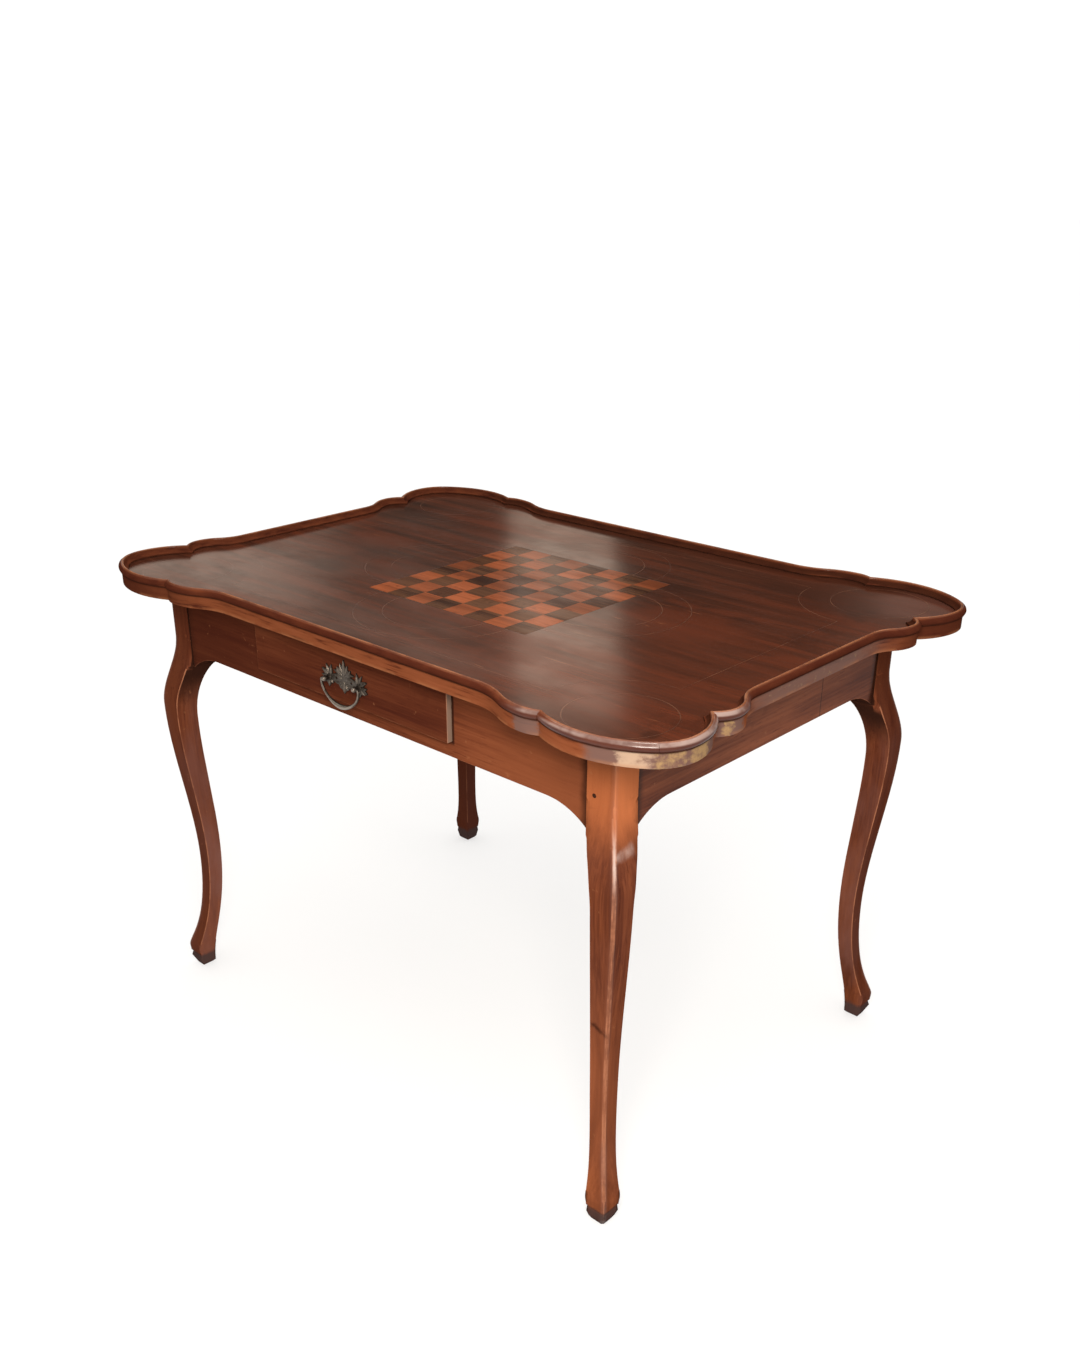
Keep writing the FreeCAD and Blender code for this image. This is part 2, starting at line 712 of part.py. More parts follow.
def peg(name, side, sign, radius):
    """A peg, or its hole, in one end of a rail."""
    height = "board_under - peg_drop"
    along = f"{sign} * (rail_half_{'x' if side in ('front', 'back') else 'y'} + tenon_length / 2)"
    seats = {
        "front": (along, "-post_y", INTO_FRONT),
        "back": (along, "post_y", INTO_BACK),
        "left": ("-post_x", along, INTO_LEFT),
        "right": ("post_x", along, INTO_RIGHT),
    }
    x, y, turn = seats[side]
    return prism(name, 8, radius, "peg_length", x, y, height, turn)


pegs = []
peg_holes = {}
for side in rail_blanks:
    for sign in (-1, 1):
        pegs.append(peg(f"peg_{side}_{sign}", side, sign, "peg_radius"))
        peg_holes[side, sign] = peg(f"peg_hole_{side}_{sign}", side, sign, "peg_radius + peg_gap")
joint_pegs = group("joint_pegs", pegs)
rails = [
    cut(f"{side}_rail", blank, peg_holes[side, -1], peg_holes[side, 1])
    for side, blank in rail_blanks.items()
]

blank = leg_blank()
blank_back_left = mirrored("leg_blank_back_left", blank, FreeCAD.Vector(1, 0, 0))
blank_front_right = mirrored("leg_blank_front_right", blank, FreeCAD.Vector(0, 1, 0))
blank_front_left = mirrored("leg_blank_front_left", blank_front_right, FreeCAD.Vector(1, 0, 0))
legs = [
    cut(f"leg_{front}_{side}", leg, rail_blanks[front], rail_blanks[side],
        peg_holes[front, right], peg_holes[side, back])
    for leg, front, side, back, right in (
        (blank, "back", "right", 1, 1),
        (blank_back_left, "back", "left", 1, -1),
        (blank_front_right, "front", "right", -1, 1),
        (blank_front_left, "front", "left", -1, -1),
    )
]


# Glue blocks

def glue_block(name, plane, side, wall, start):
    """A three-cornered block in the angle of a rail and the top. Side is 1 where the rail is on the plus
    side, and -1 on the other."""
    corners = [
        (wall, "board_under"),
        (f"{wall} - {side} * block_side", "board_under"),
        (wall, "board_under - block_side"),
    ]
    if side < 0:
        corners = [corners[0], corners[2], corners[1]]
    shift = {"XZ_Plane": {"y": f"{start} + block_length"}, "YZ_Plane": {"x": start}}
    return board(name, plane, corners, "block_length", **shift[plane])


blocks = [glue_block("glue_block_back_middle", "YZ_Plane", 1, "rail_back_y", "-block_length / 2")]
for side, plane, sign, wall, half in (
    ("left", "XZ_Plane", -1, "-rail_back_x", "rail_half_y"),
    ("right", "XZ_Plane", 1, "rail_back_x", "rail_half_y"),
    ("back", "YZ_Plane", 1, "rail_back_y", "rail_half_x"),
    ("front", "YZ_Plane", -1, "-rail_back_y", "rail_half_x"),
):
    near, far = f"block_inset - {half}", f"{half} - block_inset - block_length"
    blocks.append(glue_block(f"glue_block_{side}_near", plane, sign, wall, near))
    blocks.append(glue_block(f"glue_block_{side}_far", plane, sign, wall, far))
glue_blocks = group("glue_blocks", blocks)

# Runners, guides and stops

carriers = []
stops = []
for side, runner_x, guide_x, stop_x in (
    ("left", "opening_left - (runner_width - runner_lap)", "opening_left - guide_width", "drawer_left"),
    ("right", "opening_right - runner_lap", "opening_right", "drawer_right - stop_width"),
):
    carriers.append(block(f"drawer_runner_{side}", runner_x, "-rail_back_y", "sill - runner_height",
                          "runner_width", "2 * rail_back_y", "runner_height"))
    carriers.append(block(f"drawer_guide_{side}", guide_x, "-rail_back_y", "sill",
                          "guide_width", "2 * rail_back_y", "guide_height"))
    stops.append(block(f"drawer_stop_{side}", stop_x, "drawer_tail", "sill",
                       "stop_width", "stop_length", "stop_height"))
drawer_stops = group("drawer_stops", stops)


# Drawer

def tails(neck, tip, upward):
    """The dovetails at one end of a drawer side, from its neck to its tip, going up or down."""
    corners = []
    for count in ((1, 3) if upward else (3, 1)):
        middle = f"bottom_top + tail_pitch * {count} / 2"
        narrow, wide = ("tail_narrow / 2", "tail_wide / 2")
        low, high = ("-", "+") if upward else ("+", "-")
        corners += [(neck, f"{middle} {low} {narrow}"), (tip, f"{middle} {low} {wide}"),
                    (tip, f"{middle} {high} {wide}"), (neck, f"{middle} {high} {narrow}")]
    return corners


def drawer_side(name, x):
    """A drawer side, tailed at both ends."""
    back_neck = "drawer_tail - back_thickness"
    corners = [
        ("front_back", "drawer_low"),
        (back_neck, "drawer_low"),
        *tails(back_neck, "drawer_tail", True),
        (back_neck, "side_top"),
        ("front_back", "side_top"),
        *tails("front_back", "front_back - tail_lap", False),
    ]
    return board(name, "YZ_Plane", corners, "side_thickness", x=x)


side_left_blank = drawer_side("drawer_side_left_blank", "drawer_left")
side_right_blank = drawer_side("drawer_side_right_blank", "drawer_right - side_thickness")
bottom_edge = "side_thickness - groove_depth"
drawer_bottom = block(
    "drawer_bottom", f"drawer_left + {bottom_edge}", "front_back - groove_depth", "bottom_low",
    f"drawer_right - drawer_left - 2 * ({bottom_edge})",
    "drawer_tail - front_back + groove_depth", "bottom_thickness")
drawer_sides = [cut("drawer_side_left", side_left_blank, drawer_bottom),
                cut("drawer_side_right", side_right_blank, drawer_bottom)]
back_blank = block("drawer_back_blank", "drawer_left", "drawer_tail - back_thickness", "bottom_top",
                   "drawer_right - drawer_left", "back_thickness", "side_top - bottom_top")
drawer_back = cut("drawer_back", back_blank, side_left_blank, side_right_blank)

# Handle

HANDLE_X = "opening_shift"
OUTWARD = FreeCAD.Rotation(FreeCAD.Vector(1, 0, 0), 90)
# Sides of the bail's filed bar, and its bend between two sections
BAIL_SIDES = 8
BAIL_TURN = math.radians(30)


def plate_outline():
    """The backplate: a tall middle leaf, a wing to each side, and a spray of leaves round each post.
    X is across and Y is up, from the middle of the bail's axis."""
    half, rise, fall = number("plate_half"), number("plate_rise"), number("plate_fall")
    post, leaf = number("post_spread"), number("plate_leaf")

    def point(x, y):
        return FreeCAD.Vector(x, y, 0)
    # Right half, from the middle leaf's tip round to the lower point, each with the bulge that follows it
    right = [
        (point(0, rise), -0.08),
        (point(rise / 6, rise * 0.62), 0.3),
        (point(rise / 3, rise * 0.42), -0.2),
        (point(post - leaf * 1.4, leaf * 1.3), 0),
        (point(post - leaf, leaf * 4), 0),
        (point(post + leaf * 0.4, leaf * 1.8), 0),
        (point(half - leaf * 0.6, leaf * 2.3), 0),
        (point(post + leaf * 1.9, leaf * 0.5), 0),
        (point(half, -leaf * 1.2), 0),
        (point(post + leaf * 1.2, -leaf * 1.4), 0),
        (point(post + leaf * 0.2, -leaf * 2.8), 0),
        (point(post - leaf * 1.2, -leaf * 1.2), -0.15),
        (point(rise / 3, -fall * 0.3), 0.25),
        (point(rise / 7, -fall * 0.65), 0),
        (point(0, -fall), 0),
    ]
    edges = []
    for (start, bulge), (stop, unused) in zip(right, right[1:]):
        if bulge:
            middle = (start + stop) / 2 + UP.cross(stop - start) * bulge
            edges.append((start, middle, stop))
        else:
            edges.append((start, stop))
    left = [tuple(FreeCAD.Vector(-p.x, p.y, 0) for p in edge)[::-1] for edge in reversed(edges)]
    return Part.Wire([curve(edge).toShape() for edge in edges + left])


plate_wire = shaped("plate_outline", plate_outline())
plate_wire.Placement.Rotation = OUTWARD
place(plate_wire, HANDLE_X, "drawer_face", "axis_z")
plate_blank = extrusion("plate_blank", plate_wire, FreeCAD.Vector(0, -1, 0), "plate_thickness")
piercings = [
    prism(f"plate_piercing_{sign}", 4, "plate_piercing", "3 * plate_thickness",
          f"{HANDLE_X} + {sign} * post_spread / 2", "drawer_face + plate_thickness",
          "axis_z + plate_piercing", OUTWARD)
    for sign in (-1, 1)
]


def handle_post_x(sign):
    """Where a handle post is, across."""
    return f"{HANDLE_X} + {sign} * post_spread"


def shank(name, sign, spare):
    """A post's square shank, or the hole for it, through plate and drawer front."""
    side = f"post_shank + 2 * {spare}"
    return block(name, f"{handle_post_x(sign)} - ({side}) / 2", "plate_face", f"axis_z - ({side}) / 2",
                 side, "plate_thickness + front_thickness", side)


def handle_post(sign):
    """One post: an eight-sided head with an eye for the bail, on a square shank with a filed end."""
    x = handle_post_x(sign)
    facing = OUTWARD * FreeCAD.Rotation(UP, 360 / 8 / 2)
    tiers = [
        ("collar", "post_collar", "collar_height", "plate_face"),
        ("head", "post_head", "axis_stand + post_nose", "plate_face"),
        ("button", "post_button", "button_height", "axis_y - post_nose"),
    ]
    pieces = [prism(f"post_{tier}_{sign}", 8, radius, height, x, start, "axis_z", facing)
              for tier, radius, height, start in tiers]
    pieces.append(shank(f"post_shank_{sign}", sign, "0"))
    pieces.append(prism(f"post_thread_{sign}", 8, "post_thread", "nut_height + thread_end",
                        x, "front_back", "axis_z", INTO_FRONT))
    whole = doc.addObject("Part::MultiFuse", f"post_whole_{sign}")
    whole.Shapes = pieces
    eye = rod(f"post_eye_{sign}", "pin_radius + pin_gap", "4 * post_head",
              f"{x} - 2 * post_head", "axis_y", "axis_z", INTO_LEFT)
    return cut(f"handle_post_{sign}", whole, eye)


def handle_nut(sign):
    """A square nut on a post's inner end."""
    x = handle_post_x(sign)
    square = block(f"nut_square_{sign}", f"{x} - nut_side / 2", "front_back", "axis_z - nut_side / 2",
                   "nut_side", "nut_height", "nut_side")
    hole = prism(f"nut_hole_{sign}", 8, "post_thread + shank_gap", "nut_height",
                 x, "front_back", "axis_z", INTO_FRONT)
    return cut(f"handle_nut_{sign}", square, hole)


def bail_path():
    """The bail's middle line between its pins: a bend at each end, and a bow of three smooth arcs."""
    half, drop = number("bail_half"), number("bail_drop")
    elbow, side = number("bail_elbow"), number("bail_side")
    deep = drop - elbow
    bow = (half ** 2 + deep ** 2 - 2 * half * side) / (2 * (deep - side))

    def point(x, y):
        return FreeCAD.Vector(x, y, 0)
    side_centre = point(half - side, -elbow)
    bow_centre = point(0, -drop + bow)
    meeting = side_centre + (side_centre - bow_centre).normalize() * side
    right = [
        arc_between(point(half - elbow, 0), point(half, -elbow), point(half - elbow, -elbow)),
        arc_between(point(half, -elbow), meeting, side_centre),
        arc_between(meeting, point(0, -drop), bow_centre),
    ]
    left = [tuple(FreeCAD.Vector(-p.x, p.y, 0) for p in edge)[::-1] for edge in reversed(right)]
    return right + left


def handle_bail():
    """The bail: one bar, thin at its pins and full at the middle of its bow."""
    edges = bail_path()
    pin, swell = number("pin_radius"), number("bail_swell")
    right_bow, left_bow = edges[2:4]
    corners = [FreeCAD.Rotation(UP, 360 * count / BAIL_SIDES).multVec(FreeCAD.Vector(1, 0, 0))
               for count in range(BAIL_SIDES + 1)]

    def section(edge, share):
        """The bar's filed section part of the way along an edge."""
        line = curve(edge)
        at = line.FirstParameter + (line.LastParameter - line.FirstParameter) * share
        way = line.tangent(at)[0].normalize()
        size = pin
        if edge in (right_bow, left_bow):
            fall = abs(line.value(at).x) / right_bow[0].x
            size += (swell - pin) * math.cos(math.pi / 2 * fall) ** 2
        thing = shaped("bail_section", Part.makePolygon([corner * size for corner in corners]))
        thing.Placement = FreeCAD.Placement(line.value(at), FreeCAD.Rotation(UP, way.cross(UP), way, "XYZ"))
        return thing
    sections = []
    for edge in edges:
        arc = curve(edge).toShape()
        steps = round(arc.Length / arc.Curve.Radius / BAIL_TURN)
        sections += [section(edge, step / steps) for step in range(steps)]
    sections.append(section(edges[-1], 1))
    bow = doc.addObject("Part::Loft", "bail_bow")
    bow.Sections = sections
    bow.Solid = True
    bow.Ruled = True
    bow.Placement.Rotation = OUTWARD
    place(bow, HANDLE_X, "axis_y", "axis_z")
    reach = "post_head + (bail_half - bail_elbow - post_spread)"
    pins = [
        rod("bail_pin_right", "pin_radius", reach,
            f"{HANDLE_X} + post_spread - post_head", "axis_y", "axis_z", INTO_LEFT),
        rod("bail_pin_left", "pin_radius", reach,
            f"{HANDLE_X} - post_spread + post_head", "axis_y", "axis_z", INTO_RIGHT),
    ]
    bar = doc.addObject("Part::MultiFuse", "handle_bail")
    bar.Shapes = [bow, *pins]
    return bar


handle_posts = group("handle_posts", [handle_post(sign) for sign in (-1, 1)])
handle_nuts = group("handle_nuts", [handle_nut(sign) for sign in (-1, 1)])
shank_holes = [shank(f"shank_hole_{sign}", sign, "shank_gap") for sign in (-1, 1)]
handle_backplate = cut("handle_backplate", plate_blank, *piercings, *shank_holes)
bail = handle_bail()

front_blank = block("drawer_front_blank", "drawer_left", "drawer_face", "drawer_low",
                    "drawer_right - drawer_left", "front_thickness", "drawer_top - drawer_low")
drawer_front = cut("drawer_front", front_blank,
                   side_left_blank, side_right_blank, drawer_bottom, *shank_holes)

# Write every piece to its own file

pieces = [
    top_board, light_squares, dark_squares, *rim_lengths,
    *legs, *rails, joint_pegs, glue_blocks, *carriers, drawer_stops,
    drawer_front, *drawer_sides, drawer_back, drawer_bottom,
    handle_backplate, handle_posts, handle_nuts, bail,
]
doc.recompute()
for thing in doc.Objects:
    if {"Invalid", "Error"} & set(thing.State):
        raise RuntimeError(f"{thing.Label} could not be made: {thing.State}")
for piece in pieces:
    if piece.Shape.isNull() or not piece.Shape.isValid() or not piece.Shape.Solids:
        raise RuntimeError(f"{piece.Label} is not a sound solid")
os.makedirs("parts", exist_ok=True)
for piece in pieces:
    piece.Shape.exportStep(f"parts/{piece.Label}.step")
print(len(pieces), "pieces written")
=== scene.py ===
import json
import math
from contextlib import contextmanager
from functools import cached_property, reduce

import bmesh
import bpy
from bpy.props import FloatProperty, FloatVectorProperty, IntProperty, PointerProperty
from mathutils import Matrix, Quaternion, Vector


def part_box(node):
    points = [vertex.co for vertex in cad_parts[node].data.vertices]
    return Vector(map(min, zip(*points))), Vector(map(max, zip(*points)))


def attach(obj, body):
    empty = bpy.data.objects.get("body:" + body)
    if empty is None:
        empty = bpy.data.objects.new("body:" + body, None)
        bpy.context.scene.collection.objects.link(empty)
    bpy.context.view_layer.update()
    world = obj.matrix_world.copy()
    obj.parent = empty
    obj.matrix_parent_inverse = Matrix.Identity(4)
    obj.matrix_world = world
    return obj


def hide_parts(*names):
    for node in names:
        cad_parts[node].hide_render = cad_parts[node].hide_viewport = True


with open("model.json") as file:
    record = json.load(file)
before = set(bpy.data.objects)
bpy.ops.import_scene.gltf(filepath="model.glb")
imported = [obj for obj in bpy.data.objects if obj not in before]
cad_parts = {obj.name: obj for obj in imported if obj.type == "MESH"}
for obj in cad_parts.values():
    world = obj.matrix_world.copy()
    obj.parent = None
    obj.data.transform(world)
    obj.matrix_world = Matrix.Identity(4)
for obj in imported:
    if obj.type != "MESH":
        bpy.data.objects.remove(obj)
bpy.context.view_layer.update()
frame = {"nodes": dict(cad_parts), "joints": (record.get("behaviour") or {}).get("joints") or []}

bl_info = {
    "name": "Games Table Finish",
    "version": (1, 0, 0),
    "blender": (4, 5, 0),
    "location": "3D View > Sidebar > Games Table",
    "description": "Polished woods, planted rim, stringing, brass handle and studio of a games table",
    "category": "Object",
}

MM = 0.001
UP = Vector((0, 0, 1))
BOARD_LOW, BOARD_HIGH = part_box("top_board")
LEG_LOW, LEG_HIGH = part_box("leg_front_right")
RAIL_LOW, RAIL_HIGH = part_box("right_rail")
PLATE_LOW, PLATE_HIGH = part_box("handle_backplate")
CHESS_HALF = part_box("light_squares")[1].x
BAIL_AXIS = Vector(next(joint["pos_m"] for joint in frame["joints"] if joint["name"] == "bail_hinge"))


# Settings

def length(name, description, default):
    """A size in metres."""
    return FloatProperty(name=name, description=description, default=default, unit="LENGTH", precision=4)


def angle(name, description, degrees):
    """An angle, given in degrees."""
    return FloatProperty(name=name, description=description, default=math.radians(degrees), subtype="ANGLE")


def power(name, description, default):
    """A light's power or strength."""
    return FloatProperty(name=name, description=description, default=default, min=0)


def colour(name, description, *default):
    """A colour, in linear light."""
    return FloatVectorProperty(
        name=name, description=description, default=default, min=0, max=1, subtype="COLOR")


class OutlineSizes(bpy.types.PropertyGroup):
    """Outline of the top, measured from the board's ends and fronts."""
    lobe_from_end: length("Lobe from end", "Peak of a lobe's front, from the end", 0.114)
    lobe_from_front: length("Lobe from front", "Peak of a lobe's end, from the front", 0.082)
    lobe_corner: length("Lobe corner", "Radius of a lobe's corner", 0.065)
    lobe_end: length("Lobe end", "Radius of a lobe's end", 0.1)
    cusp_from_end: length("Cusp from end", "Cusp on a long edge", 0.178)
    cusp_from_front: length("Cusp from front", "Cusp on a short edge", 0.151)
    ear_from_end: length("Ear from end", "Peak of the ear on a long edge", 0.201)
    ear_from_front: length("Ear from front", "Peak of the ear on a short edge", 0.181)
    ear_back_front: length("Ear behind front", "Ear on a long edge, behind the lobe's front", 0.009)
    ear_back_end: length("Ear behind end", "Ear on a short edge, behind the lobe's end", 0.014)
    edge_from_end: length("Edge from end", "End of the straight long edge", 0.301)
    edge_from_front: length("Edge from front", "End of the straight short edge", 0.251)
    edge_back_front: length("Edge behind front", "Straight long edge, behind the lobe's front", 0.034)
    edge_back_end: length("Edge behind end", "Straight short edge, behind the lobe's end", 0.038)
    rim_joint: length("Rim joint", "Joint in the right rim, behind the middle", 0.06)


class RimSizes(bpy.types.PropertyGroup):
    """Section of the planted rim, from the board's upper edge."""
    seat: length("Seat", "Inner foot of the rim, inside the board's edge", 0.011)
    foot: length("Foot", "Upright foot inside", 0.0022)
    height: length("Height", "Crest above the board", 0.012)
    crest: length("Crest", "Middle of the rounded crest, inside the board's edge", 0.0026)
    bead: length("Bead", "Radius of the rounded crest", 0.0021)
    nose: length("Nose", "Widest point, past the board's edge", 0.004)
    nose_height: length("Nose height", "Widest point, above the board", 0.0052)
    lip: length("Lip", "Underside, past the board's edge", 0.002)
    lip_height: length("Lip height", "Upright face above the underside", 0.0012)
    gap: length("Joint gap", "Open joint between two lengths", 0.00025)


class StringingSizes(bpy.types.PropertyGroup):
    """Pale lines let into the field."""
    width: length("Width", "Width of a line", 0.0013)
    depth: length("Depth", "Thickness of the strip", 0.0008)
    proud: length("Proud", "Height over the field", 0.00006)
    border_end: length("Border end", "Border line across an end, from the middle", 0.443)
    border_front: length("Border front", "Border line along a front, from the middle", 0.298)
    hollow: length("Hollow", "Radius of the border's hollow corners", 0.116)
    candle: length("Candle ring", "Radius of the rings in the corners", 0.07)
    bow_inner: length("Inner bow", "Radius of the inner half ring beside the board", 0.088)
    bow_outer: length("Outer bow", "Radius of the outer half ring beside the board", 0.13)


class HandleSizes(bpy.types.PropertyGroup):
    """Bail handle."""
    spread: length("Spread", "Handle posts, from the middle", 0.032)
    collar: length("Collar", "Radius of a post's foot", 0.0052)
    head: length("Head", "Radius of a post's head", 0.0044)
    pin: length("Pin", "Radius of the bail's ends", 0.0019)
    swell: length("Swell", "Radius of the bail at its middle", 0.0036)
    elbow: length("Elbow", "Bend at the bail's ends", 0.003)
    side: length("Side", "Radius of the bail's sides", 0.024)
    relief: length("Relief", "Height of the chased leaves", 0.0019)
    thread: length("Thread", "Radius of a post's inner end", 0.0021)
    sides: IntProperty(name="Sides", description="Facets round the bail", default=20, min=8, max=64)


class WoodColours(bpy.types.PropertyGroup):
    """Colours of the woods and the brass."""
    field: colour("Field", "Walnut of the field", 0.052, 0.0155, 0.008)
    # Also painted as shade on the rim's inner face and on the back right of the field.
    field_dark: colour("Field, dark", "Dark figure of the field", 0.024, 0.008, 0.0045)
    field_red: colour("Field, red", "Redder heart of the field", 0.09, 0.021, 0.009)
    frame: colour("Frame", "Legs, rails and drawer front", 0.125, 0.033, 0.014)
    # Also painted as shade on the legs that the lamp misses and at the long rails' left.
    frame_dark: colour("Frame, dark", "Dark figure of the frame", 0.055, 0.013, 0.007)
    frame_light: colour("Frame, light", "Light figure of the frame", 0.2, 0.058, 0.024)
    post: colour("Posts", "Sunlit posts of the frame", 0.33, 0.096, 0.035)
    rim: colour("Rim", "Planted rim", 0.1, 0.026, 0.012)
    # Painted highlight: the shine of the wax on the knees and on the front right lobe's bead.
    pale: colour("Pale wear", "Knees where the wax shines", 0.55, 0.42, 0.37)
    wear: colour("Wear", "Rubbed edges", 0.33, 0.13, 0.056)
    arris: colour("Arris", "Pale arrises", 0.44, 0.175, 0.088)
    sunlit: colour("Sunlit", "Lightest face of a post", 0.6, 0.185, 0.07)
    bare: colour("Bare wood", "Board's edge where the polish is gone", 0.42, 0.29, 0.2)
    edge: colour("Edge", "Red-brown edge of the board", 0.17, 0.048, 0.019)
    # Also painted as light on the left legs' lower right faces.
    dust: colour("Dusty wax", "Wood where the wax is dull", 0.18, 0.074, 0.056)
    # Also painted as a highlight on the front ear's cusp and on the drawer front's ends.
    grey: colour("Greyed edge", "Board's edge where the polish is thin", 0.13, 0.078, 0.066)
    ochre: colour("Ochre edge", "Yellowed wood of the board's edge", 0.34, 0.215, 0.095)
    light: colour("Light squares", "Fruitwood inlay", 0.235, 0.061, 0.0225)
    dark: colour("Dark squares", "Walnut inlay", 0.08, 0.033, 0.016)
    string: colour("Stringing", "Pale lines of the field", 0.15, 0.06, 0.03)
    inner: colour("Inner wood", "Drawer and carcase", 0.36, 0.22, 0.11)
    peg: colour("Pegs", "End grain of the pegs", 0.05, 0.022, 0.013)
    hoof: colour("Hooves", "Dark feet", 0.05, 0.034, 0.032)
    # Dirt, and painted shade where it darkens corners, the rails' narrow faces, the rail ends by the posts
    # and the frame under the top; painted shadow beside the drawer and under the rim.
    dirt: colour("Dirt", "Old polish in the corners", 0.022, 0.008, 0.005)
    brass: colour("Brass", "Rubbed brass", 0.33, 0.275, 0.225)
    patina: colour("Patina", "Dark brass in the hollows", 0.04, 0.03, 0.023)


class StageSettings(bpy.types.PropertyGroup):
    """Camera, floor and light."""
    azimuth: angle("Azimuth", "Camera round the table, from the front", 43.37)
    elevation: angle("Elevation", "Camera above the horizon", 25.79)
    distance: length("Distance", "Camera to its target", 2.16386)
    target_height: length("Target height", "What the camera looks at, above the floor", 0.37)
    lens: FloatProperty(name="Lens", description="Focal length", default=35.074, subtype="DISTANCE_CAMERA")
    shift_x: FloatProperty(name="Shift X", description="Sideways shift of the frame", default=0.0147)
    shift_y: FloatProperty(name="Shift Y", description="Upward shift of the frame", default=0.0903)
    floor_half: length("Floor", "Half the floor's side", 40.0)
    floor: colour("Floor", "Pale floor", 0.35, 0.348, 0.344)
    glow: power("Floor glow", "Light of its own that keeps the floor pale", 0.64)
    backdrop: power("Backdrop", "Light of the white dome behind everything", 1.05)
    near_sky: colour("Horizon", "Light near the horizon", 0.6, 0.6, 0.6)
    wall: colour("Lit wall", "Soft light that the left of the field mirrors", 0.62, 0.49, 0.4)
    dark_sky: colour("Dark band", "Dim wall that the polish mirrors", 0.023, 0.0175, 0.013)
    high_sky: colour("Overhead", "Light from above", 1.0, 0.985, 0.96)
    sky: power("Sky", "Strength of the surroundings", 1.75)
    key: power("Key", "Power of the light beside the camera", 30.0)
    window: power("Window", "Power of the tall window that the field mirrors", 2.02)


class GamesTableSettings(bpy.types.PropertyGroup):
    """All settings of the table."""
    outline: PointerProperty(type=OutlineSizes)
    rim: PointerProperty(type=RimSizes)
    stringing: PointerProperty(type=StringingSizes)
    handle: PointerProperty(type=HandleSizes)
    colours: PointerProperty(type=WoodColours)
    stage: PointerProperty(type=StageSettings)


def settings():
    """The scene's settings of the table."""
    return bpy.context.scene.games_table


# Node trees

BUMP_STRENGTH = 0.6


class Socket:
    """An output whose arithmetic adds Math nodes to its tree."""

    def __init__(self, graph, link):
        self.graph = graph
        self.link = link

    def math(self, operation, *values):
        return self.graph.node("ShaderNodeMath", {"operation": operation}, dict(enumerate(values)))

    def __add__(self, other):
        return self.math("ADD", self, other)

    def __sub__(self, other):
        return self.math("SUBTRACT", self, other)

    def __rsub__(self, other):
        return self.math("SUBTRACT", other, self)

    def __mul__(self, other):
        return self.math("MULTIPLY", self, other)

    def __truediv__(self, other):
        return self.math("DIVIDE", self, other)

    def __abs__(self):
        return self.math("ABSOLUTE", self)

    def floor(self):
        return self.math("FLOOR", self)

    def root(self):
        return self.math("SQRT", self)

    def upper(self, other):
        return self.math("MAXIMUM", self, other)

    def step(self, low, high):
        """0 below low, 1 above high and smooth between. High may be the smaller."""
        return self.graph.node("ShaderNodeMapRange", {"interpolation_type": "SMOOTHSTEP", "clamp": True},
                               {"Value": self, "From Min": low, "From Max": high})

    __radd__ = __add__
    __rmul__ = __mul__


class Graph:
    """A node tree with one way to add any node."""

    def __init__(self, tree):
        self.tree = tree

    @staticmethod
    def pick(sockets, key):
        """A socket by its place, its name or its identifier, among those in use."""
        if isinstance(key, int):
            return sockets[key]
        return next(s for s in sockets if s.enabled and key in (s.name, s.identifier))

    def fill(self, socket, value):
        """Link an input, or set it."""
        if isinstance(value, Socket):
            self.tree.links.new(value.link, socket)
        else:
            socket.default_value = value

    def node(self, kind, adjust=None, inputs=None, output=None):
        """Add a node: its settings first, then its inputs. The named output, or its first, is given back."""
        made = self.tree.nodes.new(kind)
        for name, value in (adjust or {}).items():
            if name == "stops":
                elements = made.color_ramp.elements
                for count, (place, tone) in enumerate(value):
                    stop = elements[count] if count < 2 else elements.new(place)
                    stop.position = place
                    stop.color = tone
            else:
                setattr(made, name, value)
        for key, value in (inputs or {}).items():
            self.fill(self.pick(made.inputs, key), value)
        if output is None:
            return Socket(self, next(s for s in made.outputs if s.enabled))
        return Socket(self, self.pick(made.outputs, output))


